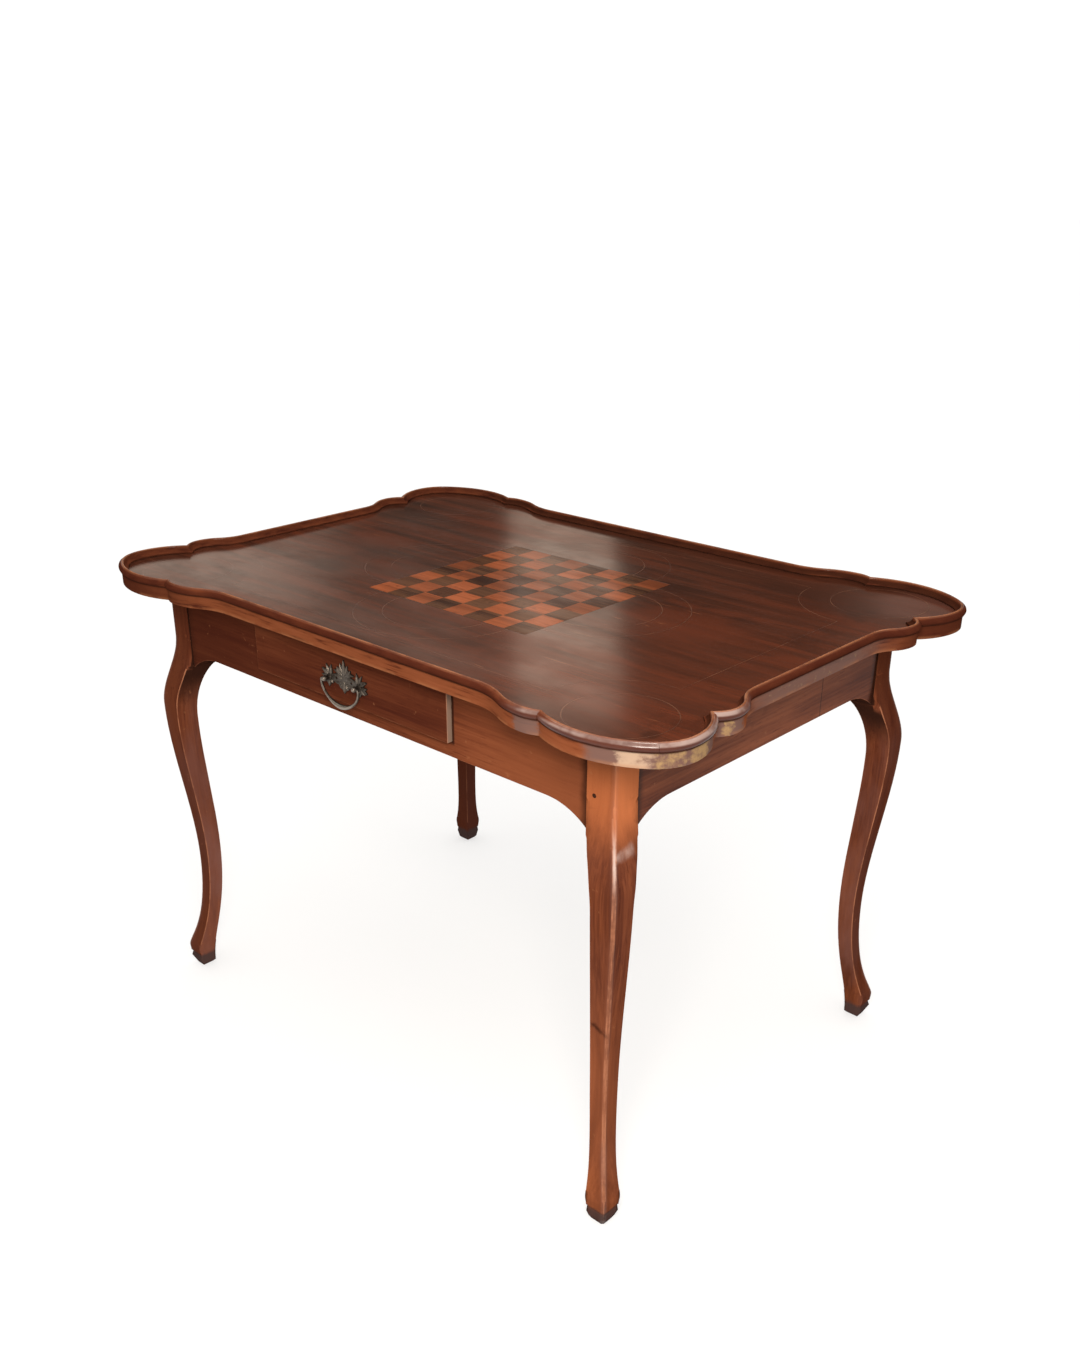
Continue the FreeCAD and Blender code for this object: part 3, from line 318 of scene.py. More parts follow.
class Finish(Graph):
    """A material on its way: a base colour that is painted over, layer by layer."""

    def __init__(self, name):
        self.material = bpy.data.materials.new(name)
        self.material.use_nodes = True
        super().__init__(self.material.node_tree)
        self.shader = self.tree.nodes["Principled BSDF"]
        self.base = None

    def axes(self, vector):
        """X, Y and Z of a vector."""
        split = self.node("ShaderNodeSeparateXYZ", inputs={0: vector}).link.node
        return [Socket(self, part) for part in split.outputs]

    @cached_property
    def place(self):
        """Where a point is on the table."""
        return self.node("ShaderNodeTexCoord", output="Object")

    @cached_property
    def at(self):
        """X, Y and Z of a point on the table."""
        return self.axes(self.place)

    @cached_property
    def facing(self):
        """Which way the surface looks, in the table's own directions."""
        return self.axes(self.node("ShaderNodeTexCoord", output="Normal"))

    @cached_property
    def outward(self):
        """How much the surface looks away from the table's middle."""
        return self.facing[0] * self.at[0] + self.facing[1] * self.at[1]

    def away(self, place, spread=None):
        """How far a point is from a place on the plan, in metres or in shares of a spread."""
        parts = [axis - start for axis, start in zip(self.at, place)]
        if spread:
            parts = [part / size for part, size in zip(parts, spread)]
        across, along = parts
        return (across * across + along * along).root()

    def noise(self, scale, detail=3.0, roughness=0.5, distortion=0.0):
        """Soft noise from 0 to 1. Scale is one number, or three for a stretched noise, per metre."""
        vector = self.place
        if not isinstance(scale, float):
            vector = self.node("ShaderNodeMapping", inputs={"Vector": vector, "Scale": scale})
            scale = 1.0
        return self.node("ShaderNodeTexNoise", inputs={
            "Vector": vector, "Scale": scale, "Detail": detail, "Roughness": roughness,
            "Distortion": distortion}, output="Fac")

    @staticmethod
    def tone(value):
        """A colour for a socket: a link, three numbers or the name of a colour in the settings."""
        if isinstance(value, Socket):
            return value
        if isinstance(value, str):
            value = getattr(settings().colours, value)
        return (*value, 1)

    def mix(self, factor, first, second):
        """One colour over another."""
        return self.node("ShaderNodeMix", {"data_type": "RGBA", "clamp_factor": True},
                         {"Factor": factor, "A": self.tone(first), "B": self.tone(second)}, output="Result")

    def paint(self, factor, tone):
        """Lay a colour over the base."""
        self.base = self.mix(factor, self.base, tone)

    def ramp(self, value, *stops):
        """A colour for each value."""
        stops = [(place, self.tone(tone)) for place, tone in stops]
        return self.node("ShaderNodeValToRGB", {"stops": stops}, {"Fac": value}, output="Color")

    def done(self, rough, height=None, relief=0.0, coat=0.0, **constants):
        """Join the shader and give back the material."""
        values = {"Base Color": self.base, "Roughness": rough, "Coat Weight": coat}
        for name, value in constants.items():
            values[name.replace("_", " ").title().replace("Ior", "IOR")] = value
        if height:
            values["Normal"] = self.node("ShaderNodeBump", inputs={
                "Height": height, "Strength": BUMP_STRENGTH, "Distance": relief}, output="Normal")
        for name, value in values.items():
            self.fill(self.shader.inputs[name], value)
        return self.material


# Woods

# Places of wear, cracks and painted highlights on the legs, the rails and the rim, in metres
KNEE_HEIGHT = 0.557
KNEE_GLINT_Y = -0.345
KNEE_GLINT_HEIGHT = 0.56
FOOT_SHINE_HEIGHT = 0.08
HOOF_TOP = 0.036
LEG_CRACK_X = 0.457
LEG_CRACK_HEIGHT = 0.302
RAIL_CRACK_Y = 0.132
WAXED_AND_GLINT_LOBE = (0.5, -0.34)

# Darker and worn places of the board's edge: X and Y, reach and strength
DARKER_EDGE = (((-0.54, -0.33), 0.3, 1.0), ((0.56, 0.33), 0.24, 1.0))
GREY_EDGE = (
    ((0.505, -0.39), 0.06, 1.0),
    ((0.553, -0.35), 0.06, 1.0),
    ((0.562, -0.295), 0.06, 1.0),
    ((0.548, -0.22), 0.04, 1.0),
    # The front ear's cusp: a painted highlight.
    ((0.366, -0.38), 0.026, 1.0),
    ((0.53, 0.0), 0.24, 0.85),
)
BARE_EDGE = (((0.53, -0.383), 0.045, 1.0), ((0.53, -0.06), 0.16, 0.35))
OCHRE_EDGE = (
    ((0.555, -0.345), 0.04, 0.8),
    ((0.562, -0.298), 0.035, 1.0),
    ((0.549, -0.226), 0.014, 0.9),
    ((0.53, 0.0), 0.24, 0.4),
)

# Spots on the field: X and Y, and how far they spread
SMEARS = (
    ((-0.371, -0.27), (0.035, 0.03)),
    ((-0.305, -0.125), (0.05, 0.03)),
    ((0.505, -0.32), (0.012, 0.016)),
)
DUSTY_SPOTS = (((0.5, 0.325), (0.08, 0.08)),)
WARM_SPOTS = (((-0.36, 0.04), (0.09, 0.035)), ((0.3, 0.02), (0.12, 0.07)))


def scaled(tone, share):
    """A colour times a share, no brighter than white."""
    return [min(1, part * share) for part in tone]


def timber(finish, axis, dark, middle, light):
    """Lay figured wood with its grain along an axis, and give back the height of its grain."""
    def figure(along, across, *detail):
        scale = [across] * 3
        scale["XYZ".index(axis)] = along
        return finish.noise(scale, *detail)

    cloud = figure(3.0, 9.0, 2.0)
    streak = figure(2.2, 42.0, 4.0, 0.6, 0.6)
    fibre = figure(9.0, 260.0, 3.0, 0.6)
    tone = cloud * 0.3 + streak * 0.48 + fibre * 0.22
    finish.base = finish.ramp(tone, (0.39, dark), (0.5, middle), (0.61, light))
    pores = figure(30.0, 420.0, 2.0).step(0.4, 0.3)
    finish.paint(pores * 0.5, dark)
    return fibre - pores * 0.3


def polish(finish, dull, shine):
    """Roughness of an old wax polish: rubbed bright in places, dull in others."""
    smear = finish.noise(9.0, 4.0, 0.6)
    return shine + (dull - shine) * smear.step(0.35, 0.65)


def top_wax(finish, low, high):
    """Wax on the faces that look up, thin in places."""
    smear = finish.noise((5.0, 9.0, 5.0), 4.0, 0.6)
    return finish.facing[2].step(0.5, 0.9) * (low + (high - low) * smear.step(0.35, 0.65))


def frame_wood(name, axis, *masks, wax=None):
    """Wood of legs, rails and drawer front. Masks are functions that paint the finish."""
    finish = Finish(name)
    grain = timber(finish, axis, "frame_dark", "frame", "frame_light")
    finish.paint(finish.noise(13.0, 5.0, 0.65).step(0.6, 0.74) * 0.4, "frame_dark")
    for mask in masks:
        mask(finish)
    finish.paint(finish.noise(70.0, 3.0, 0.7).step(0.66, 0.74) * 0.25, "wear")
    return finish.done(polish(finish, 0.42, 0.27), grain, 0.00025, wax(finish) if wax else 0.0,
                       specular_ior_level=0.0, coat_roughness=0.25)


def worn_arris(least, most):
    """The rounded arrises, rubbed pale in places."""
    def mask(finish):
        arris = finish.node("ShaderNodeAttribute", {"attribute_name": "arris"}, output="Fac")
        patchy = finish.noise(24.0, 4.0, 0.65).step(0.36, 0.62)
        finish.paint(arris * (least + (most - least) * patchy), "arris")
    return mask


def from_arris(finish):
    """How far a point of a leg is from its arris, in metres, and how much it lies on the outer side."""
    x, y = finish.at[:2]
    return abs(abs(x) - LEG_LOW.x - abs(y) - LEG_HIGH.y), finish.outward.step(-0.02, 0.05)


def rubbed_arris_and_knee_glint(finish):
    """The outer arrises of the legs, rubbed pale: broad on the posts, narrow and broken lower down. A painted
    highlight lies round the knees.
    """
    x, y, z = finish.at
    away, outer = from_arris(finish)
    width = 0.0015 + z.step(0.5, 0.6) * 0.0014
    ragged = (finish.noise(70.0, 4.0, 0.65) - 0.5) * 0.004
    patchy = finish.noise((50.0, 50.0, 11.0), 4.0, 0.65).step(0.32, 0.66)
    near = ((away + ragged) / width).step(1.1, 0.0)
    finish.paint(near * outer * (0.12 + patchy * 0.5), "arris")
    # Painted highlight round the knees' outer arrises, and a broken fan of it on the front right knee's right
    # face.
    knee = abs(z - KNEE_HEIGHT).step(0.045, 0.0) * ((away + ragged) / 0.0036).step(1.2, 0.2) * outer
    reach = y - KNEE_GLINT_Y
    glint_fan = (abs(z - KNEE_GLINT_HEIGHT - reach * 0.1) + ragged * 2.5) / (reach * 0.07 + 0.005)
    side = finish.facing[0].step(0.6, 0.9) * y.step(-0.297, -0.306) * x.step(0.455, 0.462)
    broken = finish.noise((70.0, 70.0, 50.0), 4.0, 0.7).step(0.25, 0.8)
    knee = knee.upper(glint_fan.step(1.5, 0.0) * side * (0.15 + broken * 0.45))
    finish.paint(knee * 0.75, "pale")


def shaded_leg(finish):
    """The back left leg, darker than the others: painted shade."""
    x, y = finish.at[:2]
    finish.paint(x.step(-0.2, -0.4) * y.step(0.1, 0.2) * 0.6, "frame_dark")


def leg_wax(finish):
    """A shine along the arrises, strong at the knee and above the foot."""
    z = finish.at[2]
    away, outer = from_arris(finish)
    bright = abs(z - KNEE_HEIGHT).step(0.09, 0.03).upper(abs(z - FOOT_SHINE_HEIGHT).step(0.06, 0.02))
    return (away / 0.007).step(1.2, 0.2) * outer * (0.25 + bright * 0.55)


def posts_with_painted_light(finish):
    """The posts with painted light, lighter than the legs below them, with painted shade on the faces that
    the lamp misses and in the inner corners at the top, and a crack in front.
    """
    x, y, z = finish.at
    high = (z + finish.noise(9.0, 3.0) * 0.06).step(0.57, 0.66)
    low = z.step(0.42, 0.2)
    right = x.step(0.2, 0.4) * y.step(0.0, -0.2)
    left = x.step(-0.2, -0.4)
    far = x.step(0.2, 0.4) * y.step(0.0, 0.2)
    to_front = finish.facing[1].step(-0.5, -0.9)
    to_right = finish.facing[0].step(0.5, 0.9)
    streak = finish.noise((70.0, 70.0, 5.0), 4.0, 0.65).step(0.3, 0.7)
    # Painted light on the posts, most on the front right leg and least on the left legs. Lower down, the legs
    # are a little lighter too.
    lit = high * (0.2 + right * (0.42 + streak * 0.42) - left * 0.2)
    finish.paint(lit + low * (0.12 + right * 0.14 + left * 0.12), "post")
    # Painted light on the front right post's right face, and a little on its lower front.
    finish.paint(right * (high * to_right * 0.45 + to_front * (1 - high) * 0.06), "sunlit")
    dusty = finish.noise((16.0, 16.0, 6.0), 4.0, 0.6).step(0.3, 0.7) * (1 - high)
    dull = 0.45 - right * 0.33 + (left + far) * 0.2
    # Dust in patches, more on the left and back right legs than on the front right one, and painted light in
    # the same colour on the left legs' lower right faces.
    finish.paint(dusty * dull + left * low * to_right * 0.4, "dust")
    # Painted shade: the back left leg, the left legs' front faces and the back right leg's right face, and
    # less of it higher up on their other outer faces.
    shade = (left * y.step(0.1, 0.2)).upper(left * to_front).upper(far * to_right)
    shade = shade.upper((left * to_right + far * to_front) * (1 - low) * 0.4)
    finish.paint(shade * 0.6, "frame_dark")
    # Painted shade on the legs' inner faces at the top, under the rails.
    inside = finish.outward.step(-0.1, -0.25) * (z + finish.noise(30.0, 3.0) * 0.02).step(0.5, 0.57)
    finish.paint(inside * 0.95, "dirt")
    slant = abs(z - LEG_CRACK_HEIGHT + (x - LEG_CRACK_X) * 0.35) + finish.noise(90.0, 4.0) * 0.016
    finish.paint(slant.step(0.0165, 0.006) * right * to_front * 0.8, "dirt")


def darker_left(finish):
    """The long rails, dark at their left and lighter at their right: darker wood with painted shade at the
    left, and painted light at the right.
    """
    drift = finish.at[0] + finish.noise(6.0, 3.0) * 0.2
    finish.paint(drift.step(0.25, -0.2) * 0.78, "frame_dark")
    finish.paint(drift.step(0.22, 0.46) * 0.75, "frame_light")


def drawer_shadow(finish):
    """Painted shadow on the front rail, beside the drawer and below it, where the drawer front stands proud.
    """
    low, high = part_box("drawer_front")
    x, y, z = finish.at
    beside = abs(x - high.x - 0.003).step(0.004, 0.002) * z.step(low.z - 0.005, low.z)
    below = abs(z - low.z + 0.001).step(0.0028, 0.0012)
    below = below * x.step(low.x, low.x + 0.002) * x.step(high.x + 0.004, high.x)
    finish.paint(beside.upper(below * 0.8) * y.step(-0.2, -0.3) * 0.85, "dirt")


def cracked_rail(finish):
    """A shrinkage crack down the right rail."""
    x, y = finish.at[:2]
    wander = (finish.noise((1.0, 1.0, 30.0), 3.0) - 0.5) * 0.003
    crack = abs(y - RAIL_CRACK_Y + wander).step(0.0014, 0.0005) * x.step(0.2, 0.4)
    finish.paint(crack * 0.75, "dirt")


def darker_back(finish):
    """The short rails, darker towards the back."""
    finish.paint(finish.at[1].step(0.0, 0.3) * 0.3, "frame_dark")


def shaded_edges(axis):
    """Painted shade on a rail's narrow faces, those that don't look along the axis."""
    def mask(finish):
        along = abs(finish.facing["XYZ".index(axis)])
        finish.paint(along.step(0.6, 0.3) * 0.85, "dirt")
    return mask


def rail_wax(finish):
    """A dull shine on the short rails' broad faces."""
    return abs(finish.facing[0]).step(0.6, 0.9) * 0.2


def dark_drawer(finish):
    """The drawer front: dark, with its ends rubbed pale and painted with a highlight."""
    end = abs(finish.facing[0]).step(0.5, 0.8)
    finish.paint(0.55, "frame_dark")
    # The ends: rubbed wood with a painted highlight.
    finish.paint(end * 0.8, "grey")
    finish.paint(end * 0.35, "bare")


def dark_hoof(finish):
    """The foot below its carved line, dark with grime."""
    ragged = finish.noise(60.0, 3.0) * 0.012
    below = (finish.at[2] + ragged).step(HOOF_TOP, HOOF_TOP - 0.01)
    finish.paint(below * 0.85, "hoof")


def shaded_ends(axis, reach):
    """Painted shade on a rail where it meets the posts, least at the left. Reach is the posts' inner face."""
    def mask(finish):
        along = abs(finish.at["XYZ".index(axis)])
        ragged = finish.noise(40.0, 3.0) * 0.008
        end = (along + ragged).step(reach - 0.012, reach + 0.002)
        finish.paint(end * (0.3 + finish.at[0].step(-0.3, 0.3) * 0.5), "dirt")
    return mask


def shaded_under_top(finish):
    """Painted shade just below the top."""
    ragged = finish.noise(25.0, 3.0) * 0.014
    top = (finish.at[2] + ragged).step(BOARD_LOW.z - 0.012, BOARD_LOW.z + 0.004)
    finish.paint(top * 0.6, "dirt")


def board_edge(finish):
    """The board's edge: redder than the field, and worn bare round its front right lobe and right side."""
    field, z = finish.base, finish.at[2]
    grain = finish.noise((14.0, 14.0, 160.0), 3.0, 0.6)
    mottle = finish.noise((26.0, 26.0, 50.0), 5.0, 0.7)
    fleck = finish.noise((90.0, 90.0, 110.0), 4.0, 0.7)
    ragged = (mottle - 0.5) * 0.07

    def near(places):
        """The strongest of some worn places, with ragged outlines."""
        marks = []
        for place, reach, strength in places:
            marks.append((finish.away(place) + ragged).step(reach, reach * 0.3) * strength)
        return reduce(Socket.upper, marks)

    finish.base = finish.ramp(grain, (0.3, "frame_dark"), (0.46, "edge"), (0.66, "frame_light"))
    finish.paint(near(DARKER_EDGE) * 0.85, "frame_dark")
    finish.paint((near(GREY_EDGE) * 0.6 + mottle * 0.6).step(0.4, 0.85) * 0.85, "grey")
    gone = near(BARE_EDGE) * 0.55 + mottle * 0.35 + fleck * 0.4
    finish.paint(gone.step(0.6, 0.95) * 0.85, "bare")
    yellow = near(OCHRE_EDGE) * 0.45 + fleck * 0.8 + mottle * 0.2
    finish.paint(yellow.step(0.72, 1.0) * 0.75, "ochre")
    low = z.step(BOARD_LOW.z + 0.006, BOARD_LOW.z + 0.001) * finish.noise(30.0, 3.0).step(0.4, 0.6)
    finish.paint(low * 0.35, "wear")
    # Painted shadow along the top of the edge, under the rim's lip.
    finish.paint(z.step(BOARD_HIGH.z - 0.003, BOARD_HIGH.z - 0.0005) * 0.6, "dirt")
    finish.base = finish.mix(abs(finish.facing[2]).step(0.75, 0.4), field, finish.base)


def field_wood():
    """Walnut of the field: dark and quiet at the left, redder at the right."""
    finish = Finish("field_wood")
    grain = timber(finish, "X", "field_dark", "field", "field_red")
    x, y = finish.at[:2]
    heart = (x + finish.noise(5.0, 3.0) * 0.3).step(0.2, 0.5)
    flame = finish.noise((4.0, 22.0, 4.0), 4.0, 0.6, 0.8).step(0.5, 0.66)
    finish.paint(heart * 0.25 + flame * (0.25 + heart * 0.4), "field_red")
    finish.paint(finish.noise(7.0, 5.0, 0.62).step(0.56, 0.7) * 0.5, "field_dark")
    wander = (finish.noise(30.0, 4.0, 0.65) - 0.5) * 0.7

    def marks(spots):
        """The strongest of some spots, with wandering outlines."""
        return reduce(Socket.upper, [(finish.away(*spot) + wander).step(1.2, 0.5) for spot in spots])

    finish.paint(marks(SMEARS) * 0.55, "field_dark")
    # Painted shade on the back right of the field.
    finish.paint(x.step(0.1, 0.3) * y.step(0.1, 0.3) * 0.4, "field_dark")
    finish.paint(marks(DUSTY_SPOTS) * 0.2, "dust")
    finish.paint(marks(WARM_SPOTS) * 0.65, "field_red")
    finish.paint(finish.noise((6.0, 120.0, 1.0), 2.0, 0.5, 1.5).step(0.7, 0.76) * 0.25, "wear")
    board_edge(finish)
    return finish.done(polish(finish, 0.5, 0.4), grain, 0.0001, top_wax(finish, 0.6, 0.95),
                       specular_ior_level=0.0, coat_roughness=0.16)


def square_wood(name, tone, dark):
    """Inlaid squares, each of its own shade."""
    finish = Finish(name)
    side = CHESS_HALF / 4
    x, y = finish.at[:2]
    column = ((x + CHESS_HALF) / side).floor()
    row = ((y + CHESS_HALF) / side).floor()
    cell = finish.node("ShaderNodeCombineXYZ", inputs={"X": column, "Y": row})
    luck = finish.node("ShaderNodeTexWhiteNoise", {"noise_dimensions": "3D"}, {"Vector": cell}, "Value")
    grain = timber(finish, "X", dark, tone, scaled(tone, 1.35))
    finish.paint(luck.step(0.5, 1.0) * 0.45, dark)
    faded = (luck * 7.3 - (luck * 7.3).floor()).step(0.6, 1.0)
    finish.paint(faded * 0.4, "field")
    finish.paint(finish.noise(40.0, 4.0, 0.65).step(0.58, 0.7) * 0.4, "field_dark")
    return finish.done(polish(finish, 0.5, 0.4), grain, 0.0001, top_wax(finish, 0.2, 0.5),
                       specular_ior_level=0.0, coat_roughness=0.16)


def rim_wood():
    """The rim: red-brown, dark on its sides, rubbed and with a painted highlight along its crest, with
    painted shade on its inner face and a painted shadow under its nose.
    """
    finish = Finish("rim_wood")
    board = BOARD_HIGH.z
    x = finish.at[0]
    z = finish.at[2]
    grain = finish.noise((26.0, 26.0, 120.0), 4.0, 0.6)
    patchy = finish.noise(20.0, 4.0, 0.65).step(0.36, 0.62)
    finish.base = finish.ramp(grain, (0.34, "frame_dark"), (0.5, "rim"), (0.66, "frame"))
    # The crest: rubbed wood with a painted highlight.
    crest = z.step(board + 0.0095, board + 0.012)
    finish.paint(crest * (0.15 + patchy * 0.45), "wear")
    # Painted shade on the inner face below the crest, least at the left end.
    inside = finish.outward.step(-0.04, -0.15) * z.step(board + 0.0095, board + 0.0075)
    finish.paint(inside * (0.75 - x.step(-0.38, -0.48) * 0.6), "field_dark")
    outside = finish.outward.step(0.1, 0.25)
    finish.paint(outside * (1 - crest) * (0.65 + patchy * 0.25), "frame_dark")
    # Painted shadow on the foot, below the nose.
    foot = (z + finish.noise(60.0, 3.0) * 0.003).step(board + 0.0048, board + 0.001)
    finish.paint(foot * 0.8, "dirt")
    # Painted highlight on the front right lobe's bead.
    lobe = finish.away(WAXED_AND_GLINT_LOBE).step(0.19, 0.12)
    bead = z.step(board + 0.006, board + 0.0085) * z.step(board + 0.0116, board + 0.0105)
    finish.paint(bead * lobe * outside * (0.1 + patchy * 0.3), "pale")
    wax = crest * 0.45 + lobe * outside * (1 - foot) * 0.6
    return finish.done(polish(finish, 0.45, 0.3), grain, 0.00015, wax, specular_ior_level=0.0,
                       coat_roughness=0.2)


def string_wood():
    """Pale stringing, dirty and rubbed away in places."""
    finish = Finish("string_wood")
    fade = finish.noise(14.0, 4.0, 0.65).step(0.4, 0.6) + finish.at[0].step(0.2, -0.1) * 0.5
    finish.base = finish.mix(0.4 + fade * 0.55, "string", "field")
    return finish.done(polish(finish, 0.5, 0.4), coat=top_wax(finish, 0.6, 0.95), specular_ior_level=0.04,
                       coat_roughness=0.16)


def inner_wood(axis):
    """Raw, aged wood of the drawer's box and the carcase."""
    finish = Finish(f"inner_wood_{axis}")
    tone = settings().colours.inner
    dark = scaled(tone, 0.5)
    grain = timber(finish, axis, dark, tone, scaled(tone, 1.3))
    finish.paint(finish.noise(6.0, 5.0, 0.65).step(0.5, 0.7) * 0.45, dark)
    return finish.done(0.72, grain, 0.0004)


def peg_wood():
    """Dark end grain in front of the front right post. The other pegs are as light as their posts, with the
    posts' painted light.
    """
    finish = Finish("peg_wood")
    tones = settings().colours
    x, y = finish.at[:2]
    rings = finish.noise(420.0, 3.0, 0.6)
    finish.base = finish.ramp(rings, (0.3, "dirt"), (0.6, "peg"), (0.75, "frame"))
    right = x.step(0.2, 0.3) * y.step(-0.2, -0.3)
    # The posts' colours, with their painted light.
    sunny = [(first + second) / 2 for first, second in zip(tones.post, tones.sunlit)]
    post = finish.mix(right, "frame", sunny)
    finish.paint((1 - right * finish.facing[1].step(-0.5, -0.9)) * 0.95, post)
    return finish.done(0.6, rings, 0.0002, specular_ior_level=0.0)


def brass(name, front, wear=1.0):
    """Old brass: dark in its hollows, rubbed on what stands forward. Front is how far the metal reaches."""
    finish = Finish(name)
    forward = finish.at[1].step(front + 0.0035, front)
    tarnish = finish.noise(240.0, 4.0, 0.65)
    rubbed = (forward * 0.75 + tarnish * 0.5).step(0.3, 0.85) * wear
    finish.base = finish.mix(rubbed, "patina", "brass")
    return finish.done(0.5 - rubbed * 0.2, tarnish, 0.0001, metallic=0.85)


# Meshes

FOOT_TOP = 0.045
WELD = 0.02 * MM
FLAT_DEGREES = 0.5
SHARP_DEGREES = 32
ARRIS_SEGMENTS = 3


def placed(name, data):
    """An object of the scene."""
    thing = bpy.data.objects.new(name, data)
    bpy.context.scene.collection.objects.link(thing)
    return thing


def piece(name, mesh, body, replaced=(), material=None):
    """A finished mesh as a piece of the table."""
    thing = placed(name, mesh)
    if material:
        mesh.materials.clear()
        mesh.materials.append(material)
    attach(thing, body)
    if replaced:
        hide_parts(*replaced)


def dress(node, material):
    """Give a CAD piece its finish."""
    slots = frame["nodes"][node].material_slots
    if not slots:
        raise RuntimeError(f"{node} has no material slot")
    for slot in slots:
        slot.material = material


def smooth(mesh, degrees):
    """Shade smoothly, but for edges sharper than an angle."""
    mesh.shade_smooth()
    mesh.set_sharp_from_angle(angle=math.radians(degrees))


def evaluated(thing):
    """A plain mesh of an object with its modifiers applied. The object goes."""
    bpy.context.view_layer.update()
    mesh = bpy.data.meshes.new_from_object(thing.evaluated_get(bpy.context.evaluated_depsgraph_get()))
    source = thing.data
    thing.modifiers.clear()
    bpy.data.objects.remove(thing)
    if source.users == 0:
        bpy.data.meshes.remove(source)
    return mesh


@contextmanager
def opened(mesh):
    """A mesh opened for changes to its points, edges and faces."""
    shell = bmesh.new()
    shell.from_mesh(mesh)
    yield shell
    shell.to_mesh(mesh)
    shell.free()


def softened(node, width, body, material, shape=None, chosen=None):
    """A CAD piece with its arrises rubbed round, in place of the sharp one: all, or the chosen ones."""
    mesh = frame["nodes"][node].data.copy()
    with opened(mesh) as shell:
        bmesh.ops.remove_doubles(shell, verts=shell.verts, dist=WELD)
        bmesh.ops.dissolve_limit(shell, angle_limit=math.radians(FLAT_DEGREES), verts=shell.verts,
                                 edges=shell.edges)
        if chosen:
            weight = shell.edges.layers.float.new("bevel_weight_edge")
            for edge in chosen(shell):
                edge[weight] = 1.0
    mesh.shade_smooth()
    mesh.materials.clear()
    mesh.materials.append(material)
    mesh.materials.append(None)
    thing = placed(node + "_sharp", mesh)
    bevel = thing.modifiers.new("arris", "BEVEL")
    bevel.width = width
    bevel.segments = ARRIS_SEGMENTS
    bevel.limit_method = "WEIGHT" if chosen else "ANGLE"
    bevel.angle_limit = math.radians(SHARP_DEGREES)
    bevel.use_clamp_overlap = True
    bevel.miter_outer = "MITER_ARC"
    bevel.material = 1
    soft = evaluated(thing)
    if shape:
        with opened(soft) as shell:
            shape(shell)
    smooth(soft, 50)
    thing = placed(node + "_rubbed", soft)
    even = thing.modifiers.new("even", "WEIGHTED_NORMAL")
    even.weight = 100
    even.keep_sharp = True
    soft = evaluated(thing)
    arris = soft.attributes.new("arris", "FLOAT", "FACE")
    for face, rubbed in zip(soft.polygons, arris.data):
        rubbed.value = face.material_index
        face.material_index = 0
    piece(node + "_soft", soft, body, (node,), material)


def long_arrises(shell):
    """The long arrises of a leg, clear of its foot and its joints."""
    post_x, post_y = RAIL_HIGH.x, -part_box("front_rail")[0].y
    edges = []
    for edge in shell.edges:
        low, high = sorted(vert.co.z for vert in edge.verts)
        corner = all(abs(vert.co.x) > post_x and abs(vert.co.y) > post_y for vert in edge.verts)
        upright = high - low > 0.55 * edge.calc_length()
        sharp = edge.calc_face_angle(0) > math.radians(40)
        if upright and sharp and low > FOOT_TOP and (high < RAIL_LOW.z or corner):
            edges.append(edge)
    return edges


def ease_knee(shell):
    """Trim a leg's knee back from the rails, where it stands proud of the post's faces."""
    inner = (LEG_LOW.x, -LEG_HIGH.y)
    side = RAIL_HIGH.x + 2 * MM - inner[0]
    fall = 32 * MM
    spare = 0.1 * MM
    faces = [start + side + spare for start in inner]
    for axis in (0, 1):
        for sign in (-1, 1):
            plane = Vector((0, 0, 0))
            plane[axis] = sign
            bmesh.ops.bisect_plane(shell, geom=[*shell.verts, *shell.edges, *shell.faces], dist=0.01 * MM,
                                   plane_co=plane * faces[axis], plane_no=plane)
    for vert in shell.verts:
        fade = min(1.0, max(0.0, (vert.co.z - RAIL_LOW.z + fall) / fall)) ** 3
        flat = [abs(vert.co.x), abs(vert.co.y)]
        for axis, across in ((0, 1), (1, 0)):
            proud = flat[axis] - inner[axis] - side - spare
            if proud > 0 and flat[across] < inner[across] + 0.6 * side:
                moved = flat[across] + 0.85 * proud * fade
                vert.co[across] = math.copysign(moved, vert.co[across])


def path_mesh(name, chains, **attributes):
    """Open or closed chains of points as one mesh of edges, with attributes for each point."""
    points, edges = [], []
    for chain, closed in chains:
        start = len(points)
        points += chain
        edges += [(count, count + 1) for count in range(start, len(points) - 1)]
        if closed:
            edges.append((len(points) - 1, start))
    mesh = bpy.data.meshes.new(name)
    mesh.from_pydata(points, edges, [])
    for key, values in attributes.items():
        kind, field = ("FLOAT_VECTOR", "vector") if isinstance(values[0], Vector) else ("FLOAT", "value")
        layer = mesh.attributes.new(key, kind, "POINT")
        for item, value in zip(layer.data, values):
            setattr(item, field, value)
    return mesh


def node_group(name, **sockets):
    """An empty Geometry Nodes tree with named inputs: its graph, and its inputs by name."""
    tree = bpy.data.node_groups.new(name, "GeometryNodeTree")
    for label, kind in {"Geometry": "NodeSocketGeometry", **sockets}.items():
        tree.interface.new_socket(label, in_out="INPUT", socket_type=kind)
    tree.interface.new_socket("Geometry", in_out="OUTPUT", socket_type="NodeSocketGeometry")
    graph = Graph(tree)
    given = tree.nodes.new("NodeGroupInput")
    return graph, {s.name: Socket(graph, s) for s in given.outputs if s.name}


def path_curve(graph, given):
    """The path that a tree is given, as a curve."""
    return graph.node("GeometryNodeMeshToCurve", inputs={"Mesh": given["Geometry"]})


def level_curve(graph, given):
    """The path that a tree is given, as a curve whose sections stand upright."""
    return graph.node("GeometryNodeSetCurveNormal", {"mode": "Z_UP"}, {"Curve": path_curve(graph, given)})


